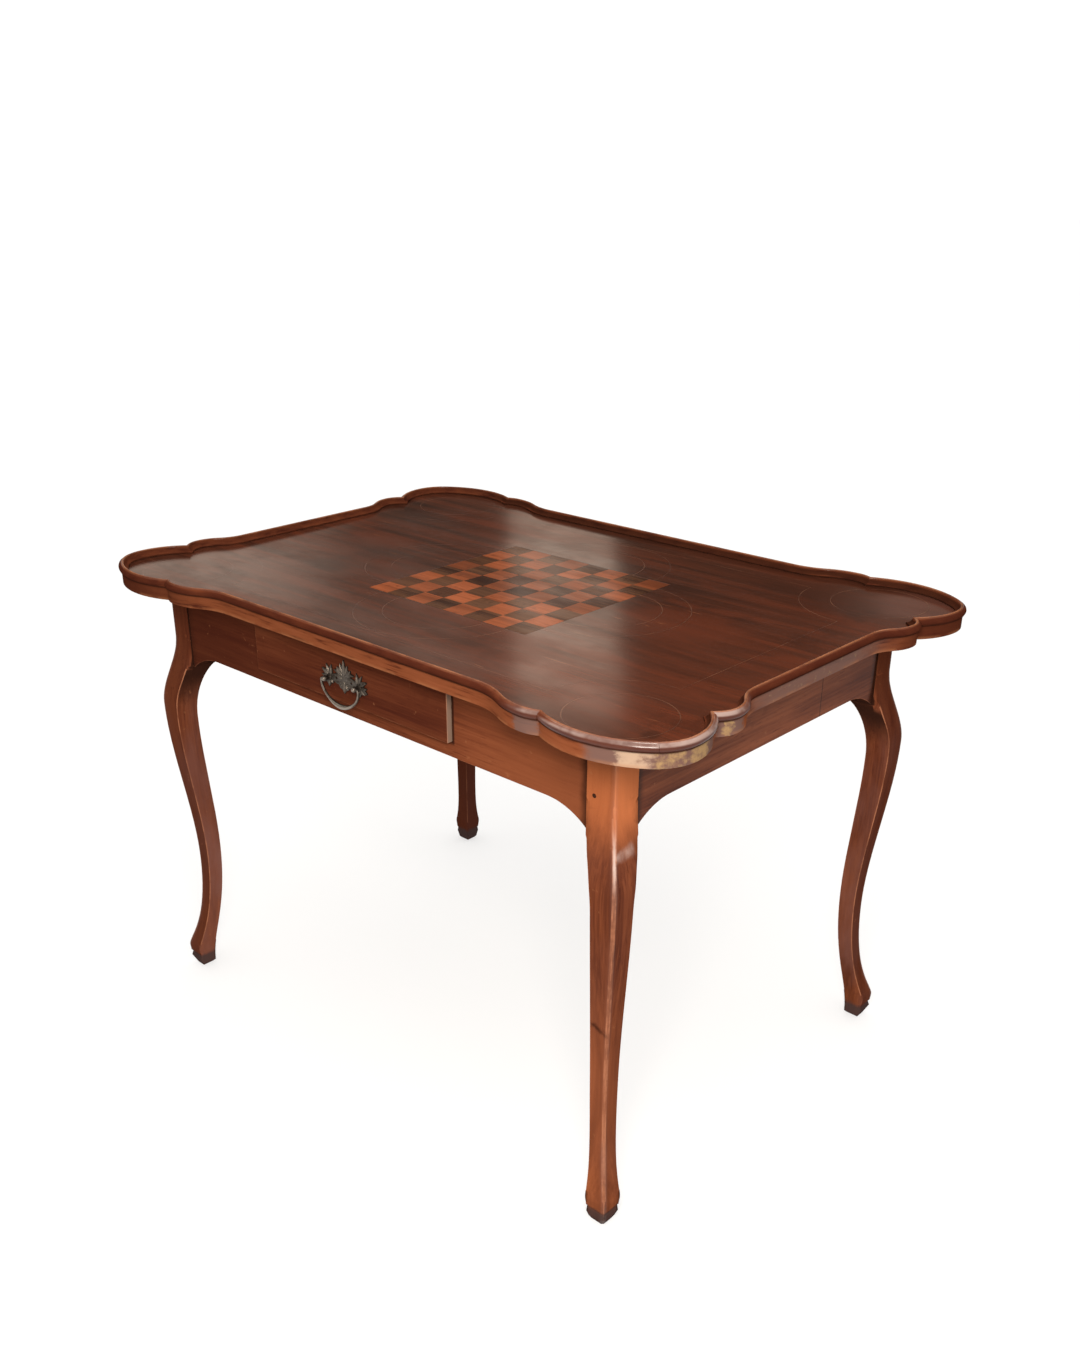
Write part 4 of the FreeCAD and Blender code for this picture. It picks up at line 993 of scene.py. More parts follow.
def sweep(graph, line, section, **more):
    """A section run along a curve, with closed ends."""
    return graph.node("GeometryNodeCurveToMesh", inputs={
        "Curve": line, "Profile Curve": section, "Fill Caps": True, **more})


def close_group(graph, geometry, material):
    """End a tree with real geometry and its material."""
    whole = graph.node("GeometryNodeRealizeInstances", inputs={"Geometry": geometry})
    whole = graph.node("GeometryNodeSetMaterial", inputs={"Geometry": whole, "Material": material})
    out = graph.tree.nodes.new("NodeGroupOutput")
    graph.tree.links.new(whole.link, out.inputs[0])
    return graph.tree


def run_group(tree, name, mesh, **values):
    """The mesh that a tree makes from a path, with its inputs set."""
    thing = placed(name, mesh)
    modifier = thing.modifiers.new(tree.name, "NODES")
    modifier.node_group = tree
    sockets = {s.name: s.identifier for s in tree.interface.items_tree if s.in_out == "INPUT"}
    for label, value in values.items():
        modifier[sockets[label]] = value
    return evaluated(thing)


def moulding_tree():
    """A section run along paths. At each point the section may be sheared, for a mitre."""
    graph, given = node_group("Moulding", Section="NodeSocketObject", Material="NodeSocketMaterial")
    info = graph.node("GeometryNodeObjectInfo", inputs={"Object": given["Section"]}, output="Geometry")
    section = graph.node("GeometryNodeMeshToCurve", inputs={"Mesh": info})
    run = sweep(graph, level_curve(graph, given), section)

    middle, outward, shear = [
        graph.node("GeometryNodeInputNamedAttribute", {"data_type": "FLOAT_VECTOR"}, {"Name": name})
        for name in ("middle", "outward", "shear")]
    here = graph.node("GeometryNodeInputPosition")
    offset = graph.node("ShaderNodeVectorMath", {"operation": "SUBTRACT"}, {0: here, 1: middle})
    out = graph.node("ShaderNodeVectorMath", {"operation": "DOT_PRODUCT"}, {0: offset, 1: outward}, "Value")
    slide = graph.node("ShaderNodeVectorMath", {"operation": "SCALE"}, {0: shear, "Scale": out})
    mitred = graph.node("GeometryNodeSetPosition", inputs={"Geometry": run, "Offset": slide})
    return close_group(graph, mitred, given["Material"])


def strip_tree():
    """A flat strip let in along paths."""
    graph, given = node_group("Stringing", Width="NodeSocketFloat", Depth="NodeSocketFloat",
                              Material="NodeSocketMaterial")
    section = graph.node("GeometryNodeCurvePrimitiveQuadrilateral", {"mode": "RECTANGLE"},
                         {"Width": given["Width"], "Height": given["Depth"]})
    return close_group(graph, sweep(graph, level_curve(graph, given), section), given["Material"])


def bar_tree():
    """A round bar along a path, as thick at each point as its attribute says."""
    graph, given = node_group("Bar", Sides="NodeSocketInt", Material="NodeSocketMaterial")
    thick = graph.node("GeometryNodeInputNamedAttribute", {"data_type": "FLOAT"}, {"Name": "thickness"})
    section = graph.node("GeometryNodeCurvePrimitiveCircle", {"mode": "RADIUS"},
                         {"Resolution": given["Sides"], "Radius": 1.0})
    return close_group(graph, sweep(graph, path_curve(graph, given), section, Scale=thick), given["Material"])


# Outline of the top

ARC_STEP = math.radians(2.5)


class Edge:
    """A line, or the short arc round a centre, from one point to another."""

    def __init__(self, start, stop, centre=None):
        self.start = start
        self.stop = stop
        self.centre = centre

    def reversed(self):
        return Edge(self.stop, self.start, self.centre)

    def flipped(self, across_x, across_y):
        def turn(point):
            return None if point is None else Vector((point.x * across_x, point.y * across_y, point.z))
        return Edge(turn(self.start), turn(self.stop), turn(self.centre))

    def sweep(self):
        """Angle from start to stop, anticlockwise if positive."""
        first, last = self.start - self.centre, self.stop - self.centre
        return math.atan2(first.cross(last).z, first.dot(last))

    def way(self, place):
        """Way of travel at one of the edge's points."""
        if self.centre is None:
            return (self.stop - self.start).normalized()
        return UP.cross(place - self.centre).normalized() * (1 if self.sweep() > 0 else -1)

    def points(self):
        """Points along the edge, its end left out."""
        if self.centre is None:
            return [self.start]
        turn = self.sweep()
        steps = max(2, math.ceil(abs(turn) / ARC_STEP))
        spoke = self.start - self.centre
        return [self.centre + Matrix.Rotation(turn * count / steps, 3, "Z") @ spoke for count in range(steps)]


def quarter():
    """Edges of the outline's +X +Y quarter, from the short side's middle to the long side's middle."""
    sizes = settings().outline
    half_x, half_y = BOARD_HIGH.x, BOARD_HIGH.y
    along_x, along_y = Vector((1, 0, 0)), Vector((0, 1, 0))

    def point(x, y):
        return Vector((x, y, BOARD_HIGH.z))

    def ogee(level, ear, out):
        """Two equal arcs from a straight edge to an ear."""
        radius = (ear - level).length_squared / (4 * (ear - level).dot(out))
        waist = (level + ear) / 2
        return [Edge(level, waist, level + out * radius), Edge(waist, ear, ear - out * radius)]

    def ear_end(ear, cusp, out):
        """The rounded end of an ear, down to its cusp."""
        radius = (ear - cusp).length_squared / (2 * (ear - cusp).dot(out))
        return Edge(ear, cusp, ear - out * radius)

    short_x, long_y = half_x - sizes.edge_back_end, half_y - sizes.edge_back_front
    short_end = point(short_x, half_y - sizes.edge_from_front)
    long_end = point(half_x - sizes.edge_from_end, long_y)
    short_ear = point(half_x - sizes.ear_back_end, half_y - sizes.ear_from_front)
    long_ear = point(half_x - sizes.ear_from_end, half_y - sizes.ear_back_front)
    corner, end = sizes.lobe_corner, sizes.lobe_end
    wide, deep = sizes.lobe_from_end, sizes.lobe_from_front
    front = (wide ** 2 + deep ** 2 - 2 * wide * corner) / (2 * (deep - corner))
    end_centre = point(half_x - end, half_y - deep)
    corner_centre = point(half_x - corner, half_y - deep)
    front_centre = point(half_x - wide, half_y - front)
    peak = point(half_x, half_y - deep)
    middle = corner_centre + (along_x + along_y).normalized() * corner
    meeting = corner_centre + (corner_centre - front_centre).normalized() * corner
    cusp_y = half_y - sizes.cusp_from_front
    short_cusp = point(end_centre.x + math.sqrt(end ** 2 - (end_centre.y - cusp_y) ** 2), cusp_y)
    cusp_x = half_x - sizes.cusp_from_end
    long_cusp = point(cusp_x, front_centre.y + math.sqrt(front ** 2 - (front_centre.x - cusp_x) ** 2))
    return [
        Edge(point(short_x, 0), short_end),
        *ogee(short_end, short_ear, along_x),
        ear_end(short_ear, short_cusp, along_x),
        Edge(short_cusp, peak, end_centre),
        Edge(peak, middle, corner_centre),
        Edge(middle, meeting, corner_centre),
        Edge(meeting, long_cusp, front_centre),
        ear_end(long_ear, long_cusp, along_y).reversed(),
        *[edge.reversed() for edge in reversed(ogee(long_end, long_ear, along_y))],
        Edge(long_end, point(0, long_y)),
    ]


def quarters():
    """The four quarters, each anticlockwise: back right, back left, front left and front right."""
    result = []
    for across_x, across_y in ((1, 1), (-1, 1), (-1, -1), (1, -1)):
        edges = [edge.flipped(across_x, across_y) for edge in quarter()]
        if across_x * across_y < 0:
            edges = [edge.reversed() for edge in reversed(edges)]
        result.append(edges)
    return result


def rim_runs():
    """The rim's lengths for each CAD piece: edges, and the neighbours that are met by a mitre."""
    rounds = quarters()
    runs = {"rim_lobe_ends": [], "rim_lobe_fronts": []}
    for count, edges in enumerate(rounds):
        first = (edges[4:6], edges[3], None)
        second = (edges[6:8], None, edges[8])
        end, front = (second, first) if count % 2 else (first, second)
        runs["rim_lobe_ends"].append(end)
        runs["rim_lobe_fronts"].append(front)
    back_right, back_left, front_left, front_right = rounds
    for node, start, stop in (
        ("rim_back", back_right, back_left),
        ("rim_left", back_left, front_left),
        ("rim_front", front_left, front_right),
    ):
        runs[node] = [(start[8:] + stop[:4], start[7], stop[4])]
    side = back_right[0]
    joint = Vector((side.start.x, settings().outline.rim_joint, side.start.z))
    runs["rim_right"] = [
        (front_right[8:11] + [Edge(front_right[11].start, joint)], front_right[7], None),
        ([Edge(joint, side.stop)] + back_right[1:4], None, back_right[4]),
    ]
    return runs


def rim_path(name, runs):
    """The path of some lengths, with what each point needs for its mitre."""
    gap = settings().rim.gap / 2
    chains, middles, outwards, shears = [], [], [], []
    for edges, before, after in runs:
        stops = [(edge, place) for edge in edges for place in edge.points()] + [(edges[-1], edges[-1].stop)]
        points = [place for edge, place in stops]
        ways = [edge.way(place) for edge, place in stops]
        points[0] = points[0] + ways[0] * gap
        points[-1] = points[-1] - ways[-1] * gap
        slides = [Vector()] * len(points)
        for end, other in ((0, before and before.way(before.stop)), (-1, after and after.way(after.start))):
            if other:
                own = ways[end]
                mitre = own.cross(UP) + other.cross(UP)
                slides[end] = own * (mitre.dot(own) / mitre.dot(own.cross(UP)))
        chains.append((points, False))
        middles += points
        outwards += [way.cross(UP) for way in ways]
        shears += slides
    return path_mesh(name, chains, middle=middles, outward=outwards, shear=shears)


def bezier(start, pull, stop, steps):
    """Points of a quadratic curve, its end left out."""
    shares = [count / steps for count in range(steps)]
    return [start.lerp(pull, share).lerp(pull.lerp(stop, share), share) for share in shares]


def rim_section():
    """The rim's section as a closed line: X is outwards, Y is downwards."""
    sizes = settings().rim

    def point(out, up):
        return Vector((out, -up, 0))

    crest = point(-sizes.crest, sizes.height - sizes.bead)
    turns = [math.radians(20 * count) for count in range(9)]
    bead = [crest + sizes.bead * Vector((-math.cos(turn), -math.sin(turn), 0)) for turn in turns]
    nose = point(sizes.nose, sizes.nose_height)
    lip = point(sizes.lip, sizes.lip_height)
    points = [point(-sizes.seat, 0)]
    points += bezier(point(-sizes.seat, sizes.foot), point(-sizes.seat * 0.62, sizes.foot * 1.35), bead[0], 6)
    points += bead
    points += bezier(bead[-1], point(sizes.nose * 0.9, sizes.nose_height * 1.75), nose, 6)[1:]
    points += bezier(nose, point(sizes.nose * 0.98, sizes.nose_height * 0.45), lip, 4)
    points += [lip, point(sizes.lip, 0)]
    return placed("rim_section", path_mesh("rim_section", [(points, True)]))


# Brass work

# Right half of the chased leaves: base, tip, width and bend, in millimetres from the bail's axis
LEAVES = (
    ((0, 7), (0, 32.5), 6.5, 0),
    ((1.5, 11), (7.5, 26), 5, -1.4),
    ((3, 9), (14.5, 20.5), 5, -2),
    ((7, 9), (22, 13.5), 5.5, 2),
    ((3, 3), (24, 6.5), 6, 2),
    ((3, -1.5), (23, -3), 5, -1.6),
    ((30, 3), (27.5, 16), 5, 1),
    ((32, 3), (38.5, 18.5), 4.6, 1),
    ((34, 2), (48.2, 10.5), 5.2, 1),
    ((35, 0), (48.6, 1.6), 4.6, -0.6),
    ((34, -2), (44, -8.4), 5, -1),
    ((31, -3), (32, -12.5), 4.6, 0.8),
    ((28, -2), (24, -7.6), 4, 0),
    ((0, 1), (0, -16.5), 6.2, 0),
    ((2.5, -3), (8, -10.5), 4.4, 0.8),
)

# Turned head of a post: share of its way out, and radius as a share of the head's
POST_HEAD = (
    (0.17, 0.78), (0.3, 0.7), (0.4, 0.82), (0.5, 0.97), (0.6, 1.0), (0.72, 0.96), (0.82, 0.82), (0.89, 0.58),
    (0.92, 0.6), (0.97, 0.5), (1.0, 0.25),
)


def leaf(shell, base, tip, width, rise, bend):
    """A chased leaf on the backplate, from base to tip, given across and up from the bail's axis."""
    rows, columns = 10, 8
    base, tip = Vector((base[0], 0, base[1])) * MM, Vector((tip[0], 0, tip[1])) * MM
    along = tip - base
    across = Vector((0, -1, 0)).cross(along).normalized()
    middle = Vector((BAIL_AXIS.x, PLATE_HIGH.y, BAIL_AXIS.z))
    thick = PLATE_HIGH.y - PLATE_LOW.y
    rim = 0.4 * thick
    crown = thick + rise - rim
    front, back = [], []
    for row in range(rows + 1):
        u = row / rows
        half = width * MM / 2 * math.sin(math.pi * u ** 0.75) ** 0.8 + 0.25 * MM
        front.append([])
        back.append([])
        for column in range(columns + 1):
            v = 2 * column / columns - 1
            dome = (1 - v * v) * math.sin(math.pi * (0.1 + 0.85 * u)) ** 0.6
            vein = 0.35 * math.exp(-(v / 0.2) ** 2) * math.sin(math.pi * u)
            place = middle + base + along * u + across * (half * v + bend * MM * math.sin(math.pi * u))
            front[row].append(shell.verts.new(place - Vector((0, rim + crown * max(dome - vein, 0), 0))))
            back[row].append(shell.verts.new(place - Vector((0, 0.05 * MM, 0))))
    for grid in (front, back):
        for near, far in zip(grid, grid[1:]):
            for column in range(columns):
                shell.faces.new((near[column], far[column], far[column + 1], near[column + 1]))
    border = [(0, column) for column in range(columns)] + [(row, columns) for row in range(rows)]
    border += [(rows, column) for column in range(columns, 0, -1)] + [(row, 0) for row in range(rows, 0, -1)]
    for (row, column), (next_row, next_column) in zip(border, border[1:] + border[:1]):
        shell.faces.new((front[row][column], front[next_row][next_column], back[next_row][next_column],
                         back[row][column]))


def turned(shell, profile, x, z, steps=28):
    """A turned shape about a line along Y: the profile gives Y and radius."""
    turns = [math.tau * count / steps for count in range(steps)]
    rings = []
    for y, radius in profile:
        places = [(x + radius * math.cos(turn), y, z + radius * math.sin(turn)) for turn in turns]
        rings.append([shell.verts.new(place) for place in places])
    for first, second in zip(rings, rings[1:]):
        for count in range(steps):
            after = (count + 1) % steps
            shell.faces.new((first[count], first[after], second[after], second[count]))
    shell.faces.new(rings[0][::-1])
    shell.faces.new(rings[-1])


def shell_mesh(name, shell):
    """A closed shell as a mesh, its faces outwards."""
    bmesh.ops.remove_doubles(shell, verts=shell.verts, dist=0.01 * MM)
    bmesh.ops.recalc_face_normals(shell, faces=shell.faces)
    mesh = bpy.data.meshes.new(name)
    shell.to_mesh(mesh)
    shell.free()
    return mesh


# Stage

SENSOR_WIDTH = 36

# Lights: places and sizes in metres, bearings, rises and leans in degrees
KEY_PLACE = Vector((1.15, -1.25, 1.5))
KEY_TARGET = Vector((0.3, -0.2, 0.6))
KEY_SIZE = (0.5, 0.5)
KEY_TONE = (1, 0.93, 0.84)
WINDOW_BEARING = 130.26
WINDOW_RISE = 18.7
WINDOW_DISTANCE = 4.0
WINDOW_SIZE = (0.47, 0.9)
WINDOW_LEAN = 4.4
WINDOW_TONE = (1, 0.78, 0.62)
# Lit parts of the dim wall: bearing, rise, reach and core in degrees, and strength
GLOWS = ((151.0, 16.0, 11.0, 3.0, 1.0), (138.5, 22.0, 6.8, 2.0, 0.48), (114.0, 16.5, 6.0, 1.0, 0.3))


def direction(bearing, rise):
    """A direction: bearing from +X and rise above the horizon, in radians."""
    return Vector((math.cos(bearing) * math.cos(rise), math.sin(bearing) * math.cos(rise), math.sin(rise)))


def place_camera(stage):
    """The camera at the photograph's viewing angle."""
    camera = bpy.data.cameras.new("camera")
    camera.lens = stage.lens
    camera.sensor_width = SENSOR_WIDTH
    camera.shift_x = stage.shift_x
    camera.shift_y = stage.shift_y
    camera.clip_end = 5 * stage.floor_half
    back = direction(stage.azimuth - math.pi / 2, stage.elevation)
    thing = placed("camera", camera)
    thing.location = UP * stage.target_height + back * stage.distance
    thing.rotation_euler = (-back).to_track_quat("-Z", "Y").to_euler()
    bpy.context.scene.camera = thing


def stage_piece(name, mesh, first, second, scale, detail, rough, glow):
    """A part of the stage with light of its own. Its colour drifts a little from the first to the second."""
    thing = placed(name, mesh)
    finish = Finish(name)
    finish.base = finish.mix(finish.noise(scale, detail) * 0.1, first, second)
    mesh.materials.append(finish.done(rough, emission_color=(1, 1, 1, 1), emission_strength=glow,
                                      specular_ior_level=0.0))
    return thing


def lay_floor(stage):
    """The pale floor."""
    half = stage.floor_half
    mesh = bpy.data.meshes.new("floor")
    corners = [(-half, -half, 0), (half, -half, 0), (half, half, 0), (-half, half, 0)]
    mesh.from_pydata(corners, [], [(0, 1, 2, 3)])
    stage_piece("floor", mesh, stage.floor, scaled(stage.floor, 0.97), scale=2.0, detail=3.0, rough=0.9,
                glow=stage.glow)


def hang_backdrop(stage):
    """A white dome behind everything, which lights and mirrors nothing."""
    mesh = bpy.data.meshes.new("backdrop")
    with opened(mesh) as shell:
        bmesh.ops.create_uvsphere(shell, u_segments=64, v_segments=32, radius=stage.floor_half * 0.95)
    mesh.shade_smooth()
    thing = stage_piece("backdrop", mesh, stage.near_sky, stage.high_sky, scale=0.05, detail=2.0, rough=1.0,
                        glow=stage.backdrop)
    for kind in ("diffuse", "glossy", "transmission", "volume_scatter", "shadow"):
        setattr(thing, f"visible_{kind}", False)


def light_sky(stage):
    """The surroundings: pale at the horizon, a dim wall with lit parts above it, and bright overhead."""
    world = bpy.data.worlds.new("studio")
    world.use_nodes = True
    bpy.context.scene.world = world
    bpy.context.scene.view_settings.view_transform = "Standard"
    graph = Graph(world.node_tree)
    way = graph.node("ShaderNodeTexCoord", output="Generated")
    height = graph.node("ShaderNodeSeparateXYZ", inputs={0: way}, output="Z")
    stops = ((0.097, stage.near_sky), (0.125, stage.dark_sky), (0.5, stage.dark_sky), (0.72, stage.high_sky))
    stops = [(place, (*tone, 1)) for place, tone in stops]
    tone = graph.node("ShaderNodeValToRGB", {"stops": stops}, {"Fac": height}, "Color")
    glows = []
    for bearing, rise, reach, core, strength in GLOWS:
        centre = direction(math.radians(bearing), math.radians(rise))
        toward = graph.node("ShaderNodeVectorMath", {"operation": "DOT_PRODUCT"},
                            {0: way, 1: centre}, "Value")
        glows.append(toward.step(math.cos(math.radians(reach)), math.cos(math.radians(core))) * strength)
    tone = graph.node("ShaderNodeMix", {"data_type": "RGBA"}, {
        "Factor": reduce(Socket.upper, glows), "A": tone, "B": (*stage.wall, 1)}, "Result")
    light = world.node_tree.nodes["Background"]
    graph.fill(light.inputs["Color"], tone)
    graph.fill(light.inputs["Strength"], stage.sky)


def hang_panel(name, place, target, size, strength, tone, lean=0.0):
    """A soft rectangle of light, turned to its target and leaned by some degrees."""
    light = bpy.data.lights.new(name, "AREA")
    light.shape = "RECTANGLE"
    light.size, light.size_y = size
    light.energy = strength
    light.color = tone
    thing = placed(name, light)
    thing.location = place
    turn = (target - place).to_track_quat("-Z", "Y")
    thing.rotation_euler = (turn @ Quaternion(UP, math.radians(lean))).to_euler()
    thing.visible_camera = False


# Operators

class GAMES_TABLE_OT_field(bpy.types.Operator):
    """Finish the top board and its inlaid chessboard"""
    bl_idname = "games_table.field"
    bl_label = "Field and chessboard"
    bl_options = {"REGISTER", "UNDO"}

    def execute(self, context):
        tones = settings().colours
        softened("top_board", 0.5 * MM, "table", field_wood())
        dress("light_squares", square_wood("light_square_wood", tones.light, scaled(tones.light, 0.55)))
        dress("dark_squares", square_wood("dark_square_wood", tones.dark, tones.field_dark))
        return {"FINISHED"}


class GAMES_TABLE_OT_stringing(bpy.types.Operator):
    """Let the pale lines into the field"""
    bl_idname = "games_table.stringing"
    bl_label = "Stringing"
    bl_options = {"REGISTER", "UNDO"}

    def execute(self, context):
        sizes = settings().stringing
        height = BOARD_HIGH.z + sizes.proud - sizes.depth / 2
        square = math.pi / 2

        def arc(x, y, radius, first, last, steps):
            turns = [first + (last - first) * count / steps for count in range(steps + 1)]
            middle = Vector((x, y, height))
            return [middle + radius * Vector((math.cos(turn), math.sin(turn), 0)) for turn in turns]

        border, chains = [], []
        for count, (side_x, side_y) in enumerate(((1, 1), (-1, 1), (-1, -1), (1, -1))):
            x, y = side_x * sizes.border_end, side_y * sizes.border_front
            start = math.pi * (1.5 + count / 2)
            border += arc(x, y, sizes.hollow, start, start - square, 24)
            chains.append((arc(x, y, sizes.candle, 0, math.tau, 72)[:-1], True))
        chains.append((border, True))
        for count in range(4):
            middle = count * square
            x, y = CHESS_HALF * math.cos(middle), CHESS_HALF * math.sin(middle)
            for radius in (sizes.bow_inner, sizes.bow_outer):
                chains.append((arc(x, y, radius, middle - square, middle + square, 48), False))
        mesh = run_group(strip_tree(), "stringing_lines", path_mesh("stringing_lines", chains),
                         Width=sizes.width, Depth=sizes.depth, Material=string_wood())
        smooth(mesh, 40)
        piece("stringing", mesh, "table")
        return {"FINISHED"}


class GAMES_TABLE_OT_rim(bpy.types.Operator):
    """Run the planted rim round the top"""
    bl_idname = "games_table.rim"
    bl_label = "Rim"
    bl_options = {"REGISTER", "UNDO"}

    def execute(self, context):
        tree = moulding_tree()
        section = rim_section()
        wood = rim_wood()
        for node, runs in rim_runs().items():
            path = rim_path(node + "_path", runs)
            mesh = run_group(tree, node + "_path", path, Section=section, Material=wood)
            smooth(mesh, 35)
            piece(node + "_moulding", mesh, "table", (node,))
        bpy.data.objects.remove(section)
        return {"FINISHED"}


class GAMES_TABLE_OT_legs(bpy.types.Operator):
    """Finish the four legs"""
    bl_idname = "games_table.legs"
    bl_label = "Legs"
    bl_options = {"REGISTER", "UNDO"}

    def execute(self, context):
        wood = frame_wood("leg_wood", "Z", posts_with_painted_light, shaded_under_top, worn_arris(0.15, 0.6), rubbed_arris_and_knee_glint,
                          shaded_leg, dark_hoof, wax=leg_wax)
        for node in ("leg_back_right", "leg_back_left", "leg_front_right", "leg_front_left"):
            softened(node, 1.2 * MM, "table", wood, ease_knee, long_arrises)
        return {"FINISHED"}


class GAMES_TABLE_OT_apron(bpy.types.Operator):
    """Finish the rails and their pegs"""
    bl_idname = "games_table.apron"
    bl_label = "Apron"
    bl_options = {"REGISTER", "UNDO"}

    def execute(self, context):
        arris = worn_arris(0.05, 0.35)
        long_wood = frame_wood("long_rail_wood", "X", darker_left, shaded_under_top, arris, drawer_shadow,
                               shaded_edges("Y"), shaded_ends("X", LEG_LOW.x))
        short_wood = frame_wood("short_rail_wood", "Y", darker_back, shaded_under_top, arris, cracked_rail,
                                shaded_edges("X"), shaded_ends("Y", -LEG_HIGH.y), wax=rail_wax)
        for node, wood in (
            ("front_rail", long_wood),
            ("back_rail", long_wood),
            ("left_rail", short_wood),
            ("right_rail", short_wood),
        ):
            softened(node, 0.8 * MM, "table", wood)
        dress("joint_pegs", peg_wood())
        return {"FINISHED"}


class GAMES_TABLE_OT_carcase(bpy.types.Operator):
    """Finish the blocks, runners, guides and stops under the top"""
    bl_idname = "games_table.carcase"
    bl_label = "Carcase"
    bl_options = {"REGISTER", "UNDO"}

    def execute(self, context):
        wood = inner_wood("Y")
        for node in ("glue_blocks", "drawer_runner_left", "drawer_runner_right", "drawer_guide_left",
                     "drawer_guide_right", "drawer_stops"):
            dress(node, wood)
        return {"FINISHED"}


class GAMES_TABLE_OT_drawer(bpy.types.Operator):
    """Finish the drawer"""
    bl_idname = "games_table.drawer"
    bl_label = "Drawer"
    bl_options = {"REGISTER", "UNDO"}

    def execute(self, context):
        wood = frame_wood("drawer_front_wood", "X", dark_drawer, shaded_under_top, worn_arris(0.05, 0.4))
        softened("drawer_front", 1.0 * MM, "drawer", wood)
        for node, axis in (("drawer_side_left", "Y"), ("drawer_side_right", "Y"), ("drawer_back", "X"),
                           ("drawer_bottom", "X")):
            dress(node, inner_wood(axis))
        return {"FINISHED"}


class GAMES_TABLE_OT_handle_plate(bpy.types.Operator):
    """Chase the backplate's leaves"""
    bl_idname = "games_table.handle_plate"
    bl_label = "Backplate"
    bl_options = {"REGISTER", "UNDO"}

    def execute(self, context):
        rise = settings().handle.relief
        metal = brass("plate_brass", PLATE_LOW.y - rise, 0.28)
        dress("handle_backplate", metal)
        shell = bmesh.new()
        for base, tip, width, bend in LEAVES:
            leaf(shell, base, tip, width, rise, bend)
            if base[0] > 0:
                leaf(shell, (-base[0], base[1]), (-tip[0], tip[1]), width, rise, -bend)
        mesh = shell_mesh("plate_leaves", shell)
        smooth(mesh, 60)
        piece("plate_leaves", mesh, "drawer", material=metal)
        return {"FINISHED"}


class GAMES_TABLE_OT_handle_posts(bpy.types.Operator):
    """Turn the handle's posts and finish their nuts"""
    bl_idname = "games_table.handle_posts"
    bl_label = "Handle posts"
    bl_options = {"REGISTER", "UNDO"}

    def execute(self, context):
        sizes = settings().handle
        low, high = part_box("handle_posts")
        nut_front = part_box("handle_nuts")[0].y
        face = PLATE_LOW.y
        stand = face - low.y
        head = [(face + 0.5 * MM, sizes.collar), (face - stand * 0.07, sizes.collar),
                (face - stand * 0.12, sizes.collar * 0.9)]
        head += [(face - stand * out, sizes.head * share) for out, share in POST_HEAD]
        end = [(nut_front - 1 * MM, sizes.thread), (high.y - 0.6 * MM, sizes.thread),
               (high.y - 0.2 * MM, sizes.thread * 0.9), (high.y, sizes.thread * 0.6)]
        shell = bmesh.new()
        for side in (-1, 1):
            for profile in (head, end):
                turned(shell, profile, BAIL_AXIS.x + side * sizes.spread, BAIL_AXIS.z)
        mesh = shell_mesh("handle_posts", shell)
        smooth(mesh, 40)
        metal = brass("post_brass", low.y, 0.6)
        piece("handle_posts_turned", mesh, "drawer", ("handle_posts",), metal)
        dress("handle_nuts", brass("nut_brass", nut_front))
        return {"FINISHED"}


class GAMES_TABLE_OT_bail(bpy.types.Operator):
    """Bend the bail"""
    bl_idname = "games_table.bail"
    bl_label = "Bail"
    bl_options = {"REGISTER", "UNDO"}

    def execute(self, context):
        sizes = settings().handle
        low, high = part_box("handle_bail")
        half = (high.x - low.x) / 2 - sizes.pin
        drop = BAIL_AXIS.z - low.z - sizes.swell
        deep = drop - sizes.elbow
        bow = (half ** 2 + deep ** 2 - 2 * half * sizes.side) / (2 * (deep - sizes.side))

        def point(x, y):
            return Vector((x, y, 0))

        side_centre = point(half - sizes.side, -sizes.elbow)
        bow_centre = point(0, -drop + bow)
        meeting = side_centre + (side_centre - bow_centre).normalized() * sizes.side
        start = point(half - sizes.elbow, 0)
        shoulder = point(half, -sizes.elbow)
        bottom = point(0, -drop)
        right = [
            Edge(point(sizes.spread - sizes.head * 0.6, 0), start),
            Edge(start, shoulder, point(half - sizes.elbow, -sizes.elbow)),
            Edge(shoulder, meeting, side_centre),
            Edge(meeting, bottom, bow_centre),
        ]
        line = [place for edge in right for place in edge.points()]
        line += [bottom] + [point(-place.x, place.y) for place in reversed(line)]
        thickness = []
        for place in line:
            fall = min(1.0, abs(place.x) / meeting.x)
            full = math.cos(math.pi / 2 * fall) ** 2 if place.y < meeting.y + sizes.elbow else 0
            thickness.append(sizes.pin + (sizes.swell - sizes.pin) * full)
        path = [BAIL_AXIS + Vector((place.x, 0, place.y)) for place in line]
        path = path_mesh("bail_path", [(path, False)], thickness=thickness)
        metal = brass("bail_brass", low.y, 0.8)
        mesh = run_group(bar_tree(), "bail_path", path, Sides=sizes.sides, Material=metal)
        smooth(mesh, 50)
        piece("bail_bar", mesh, "bail", ("handle_bail",))
        return {"FINISHED"}


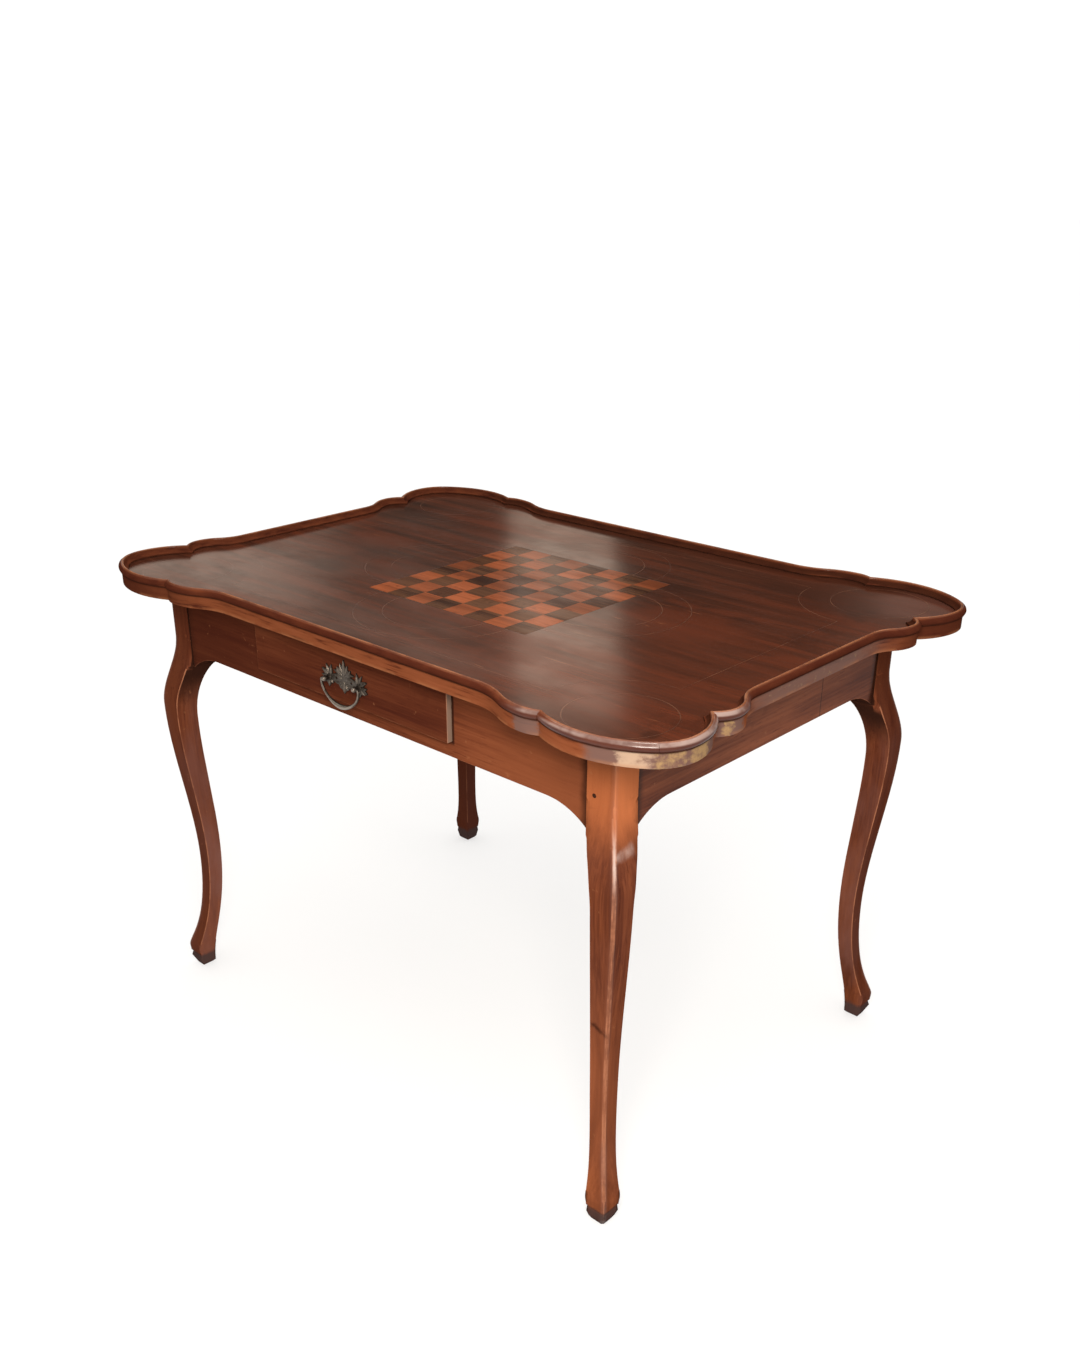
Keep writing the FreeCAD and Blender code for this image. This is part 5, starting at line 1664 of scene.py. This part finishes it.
class GAMES_TABLE_OT_stage(bpy.types.Operator):
    """Set the camera, the pale floor and the studio light"""
    bl_idname = "games_table.stage"
    bl_label = "Stage"
    bl_options = {"REGISTER", "UNDO"}

    def execute(self, context):
        stage = settings().stage
        place_camera(stage)
        lay_floor(stage)
        hang_backdrop(stage)
        light_sky(stage)
        hang_panel("key_light", KEY_PLACE, KEY_TARGET, KEY_SIZE, stage.key, KEY_TONE)
        field = UP * BOARD_HIGH.z
        window = field + direction(math.radians(WINDOW_BEARING), math.radians(WINDOW_RISE)) * WINDOW_DISTANCE
        hang_panel("window_light", window, field, WINDOW_SIZE, stage.window, WINDOW_TONE, WINDOW_LEAN)
        return {"FINISHED"}


STEPS = (
    GAMES_TABLE_OT_field,
    GAMES_TABLE_OT_stringing,
    GAMES_TABLE_OT_rim,
    GAMES_TABLE_OT_legs,
    GAMES_TABLE_OT_apron,
    GAMES_TABLE_OT_carcase,
    GAMES_TABLE_OT_drawer,
    GAMES_TABLE_OT_handle_plate,
    GAMES_TABLE_OT_handle_posts,
    GAMES_TABLE_OT_bail,
    GAMES_TABLE_OT_stage,
)


class GAMES_TABLE_PT_sidebar(bpy.types.Panel):
    """The table's steps and settings"""
    bl_label = "Games Table"
    bl_idname = "GAMES_TABLE_PT_sidebar"
    bl_space_type = "VIEW_3D"
    bl_region_type = "UI"
    bl_category = "Games Table"

    def draw(self, context):
        for step in STEPS:
            self.layout.operator(step.bl_idname)
        for group in GamesTableSettings.__annotations__:
            box = self.layout.box()
            box.label(text=group.title())
            values = getattr(context.scene.games_table, group)
            for name in type(values).__annotations__:
                box.prop(values, name)


CLASSES = (
    OutlineSizes,
    RimSizes,
    StringingSizes,
    HandleSizes,
    WoodColours,
    StageSettings,
    GamesTableSettings,
    *STEPS,
    GAMES_TABLE_PT_sidebar,
)


def register():
    for thing in CLASSES:
        bpy.utils.register_class(thing)
    bpy.types.Scene.games_table = PointerProperty(type=GamesTableSettings)


def unregister():
    del bpy.types.Scene.games_table
    for thing in reversed(CLASSES):
        bpy.utils.unregister_class(thing)


def main():
    register()
    for step in STEPS:
        group, name = step.bl_idname.split(".")
        getattr(getattr(bpy.ops, group), name)()


if __name__ == "__main__":
    main()
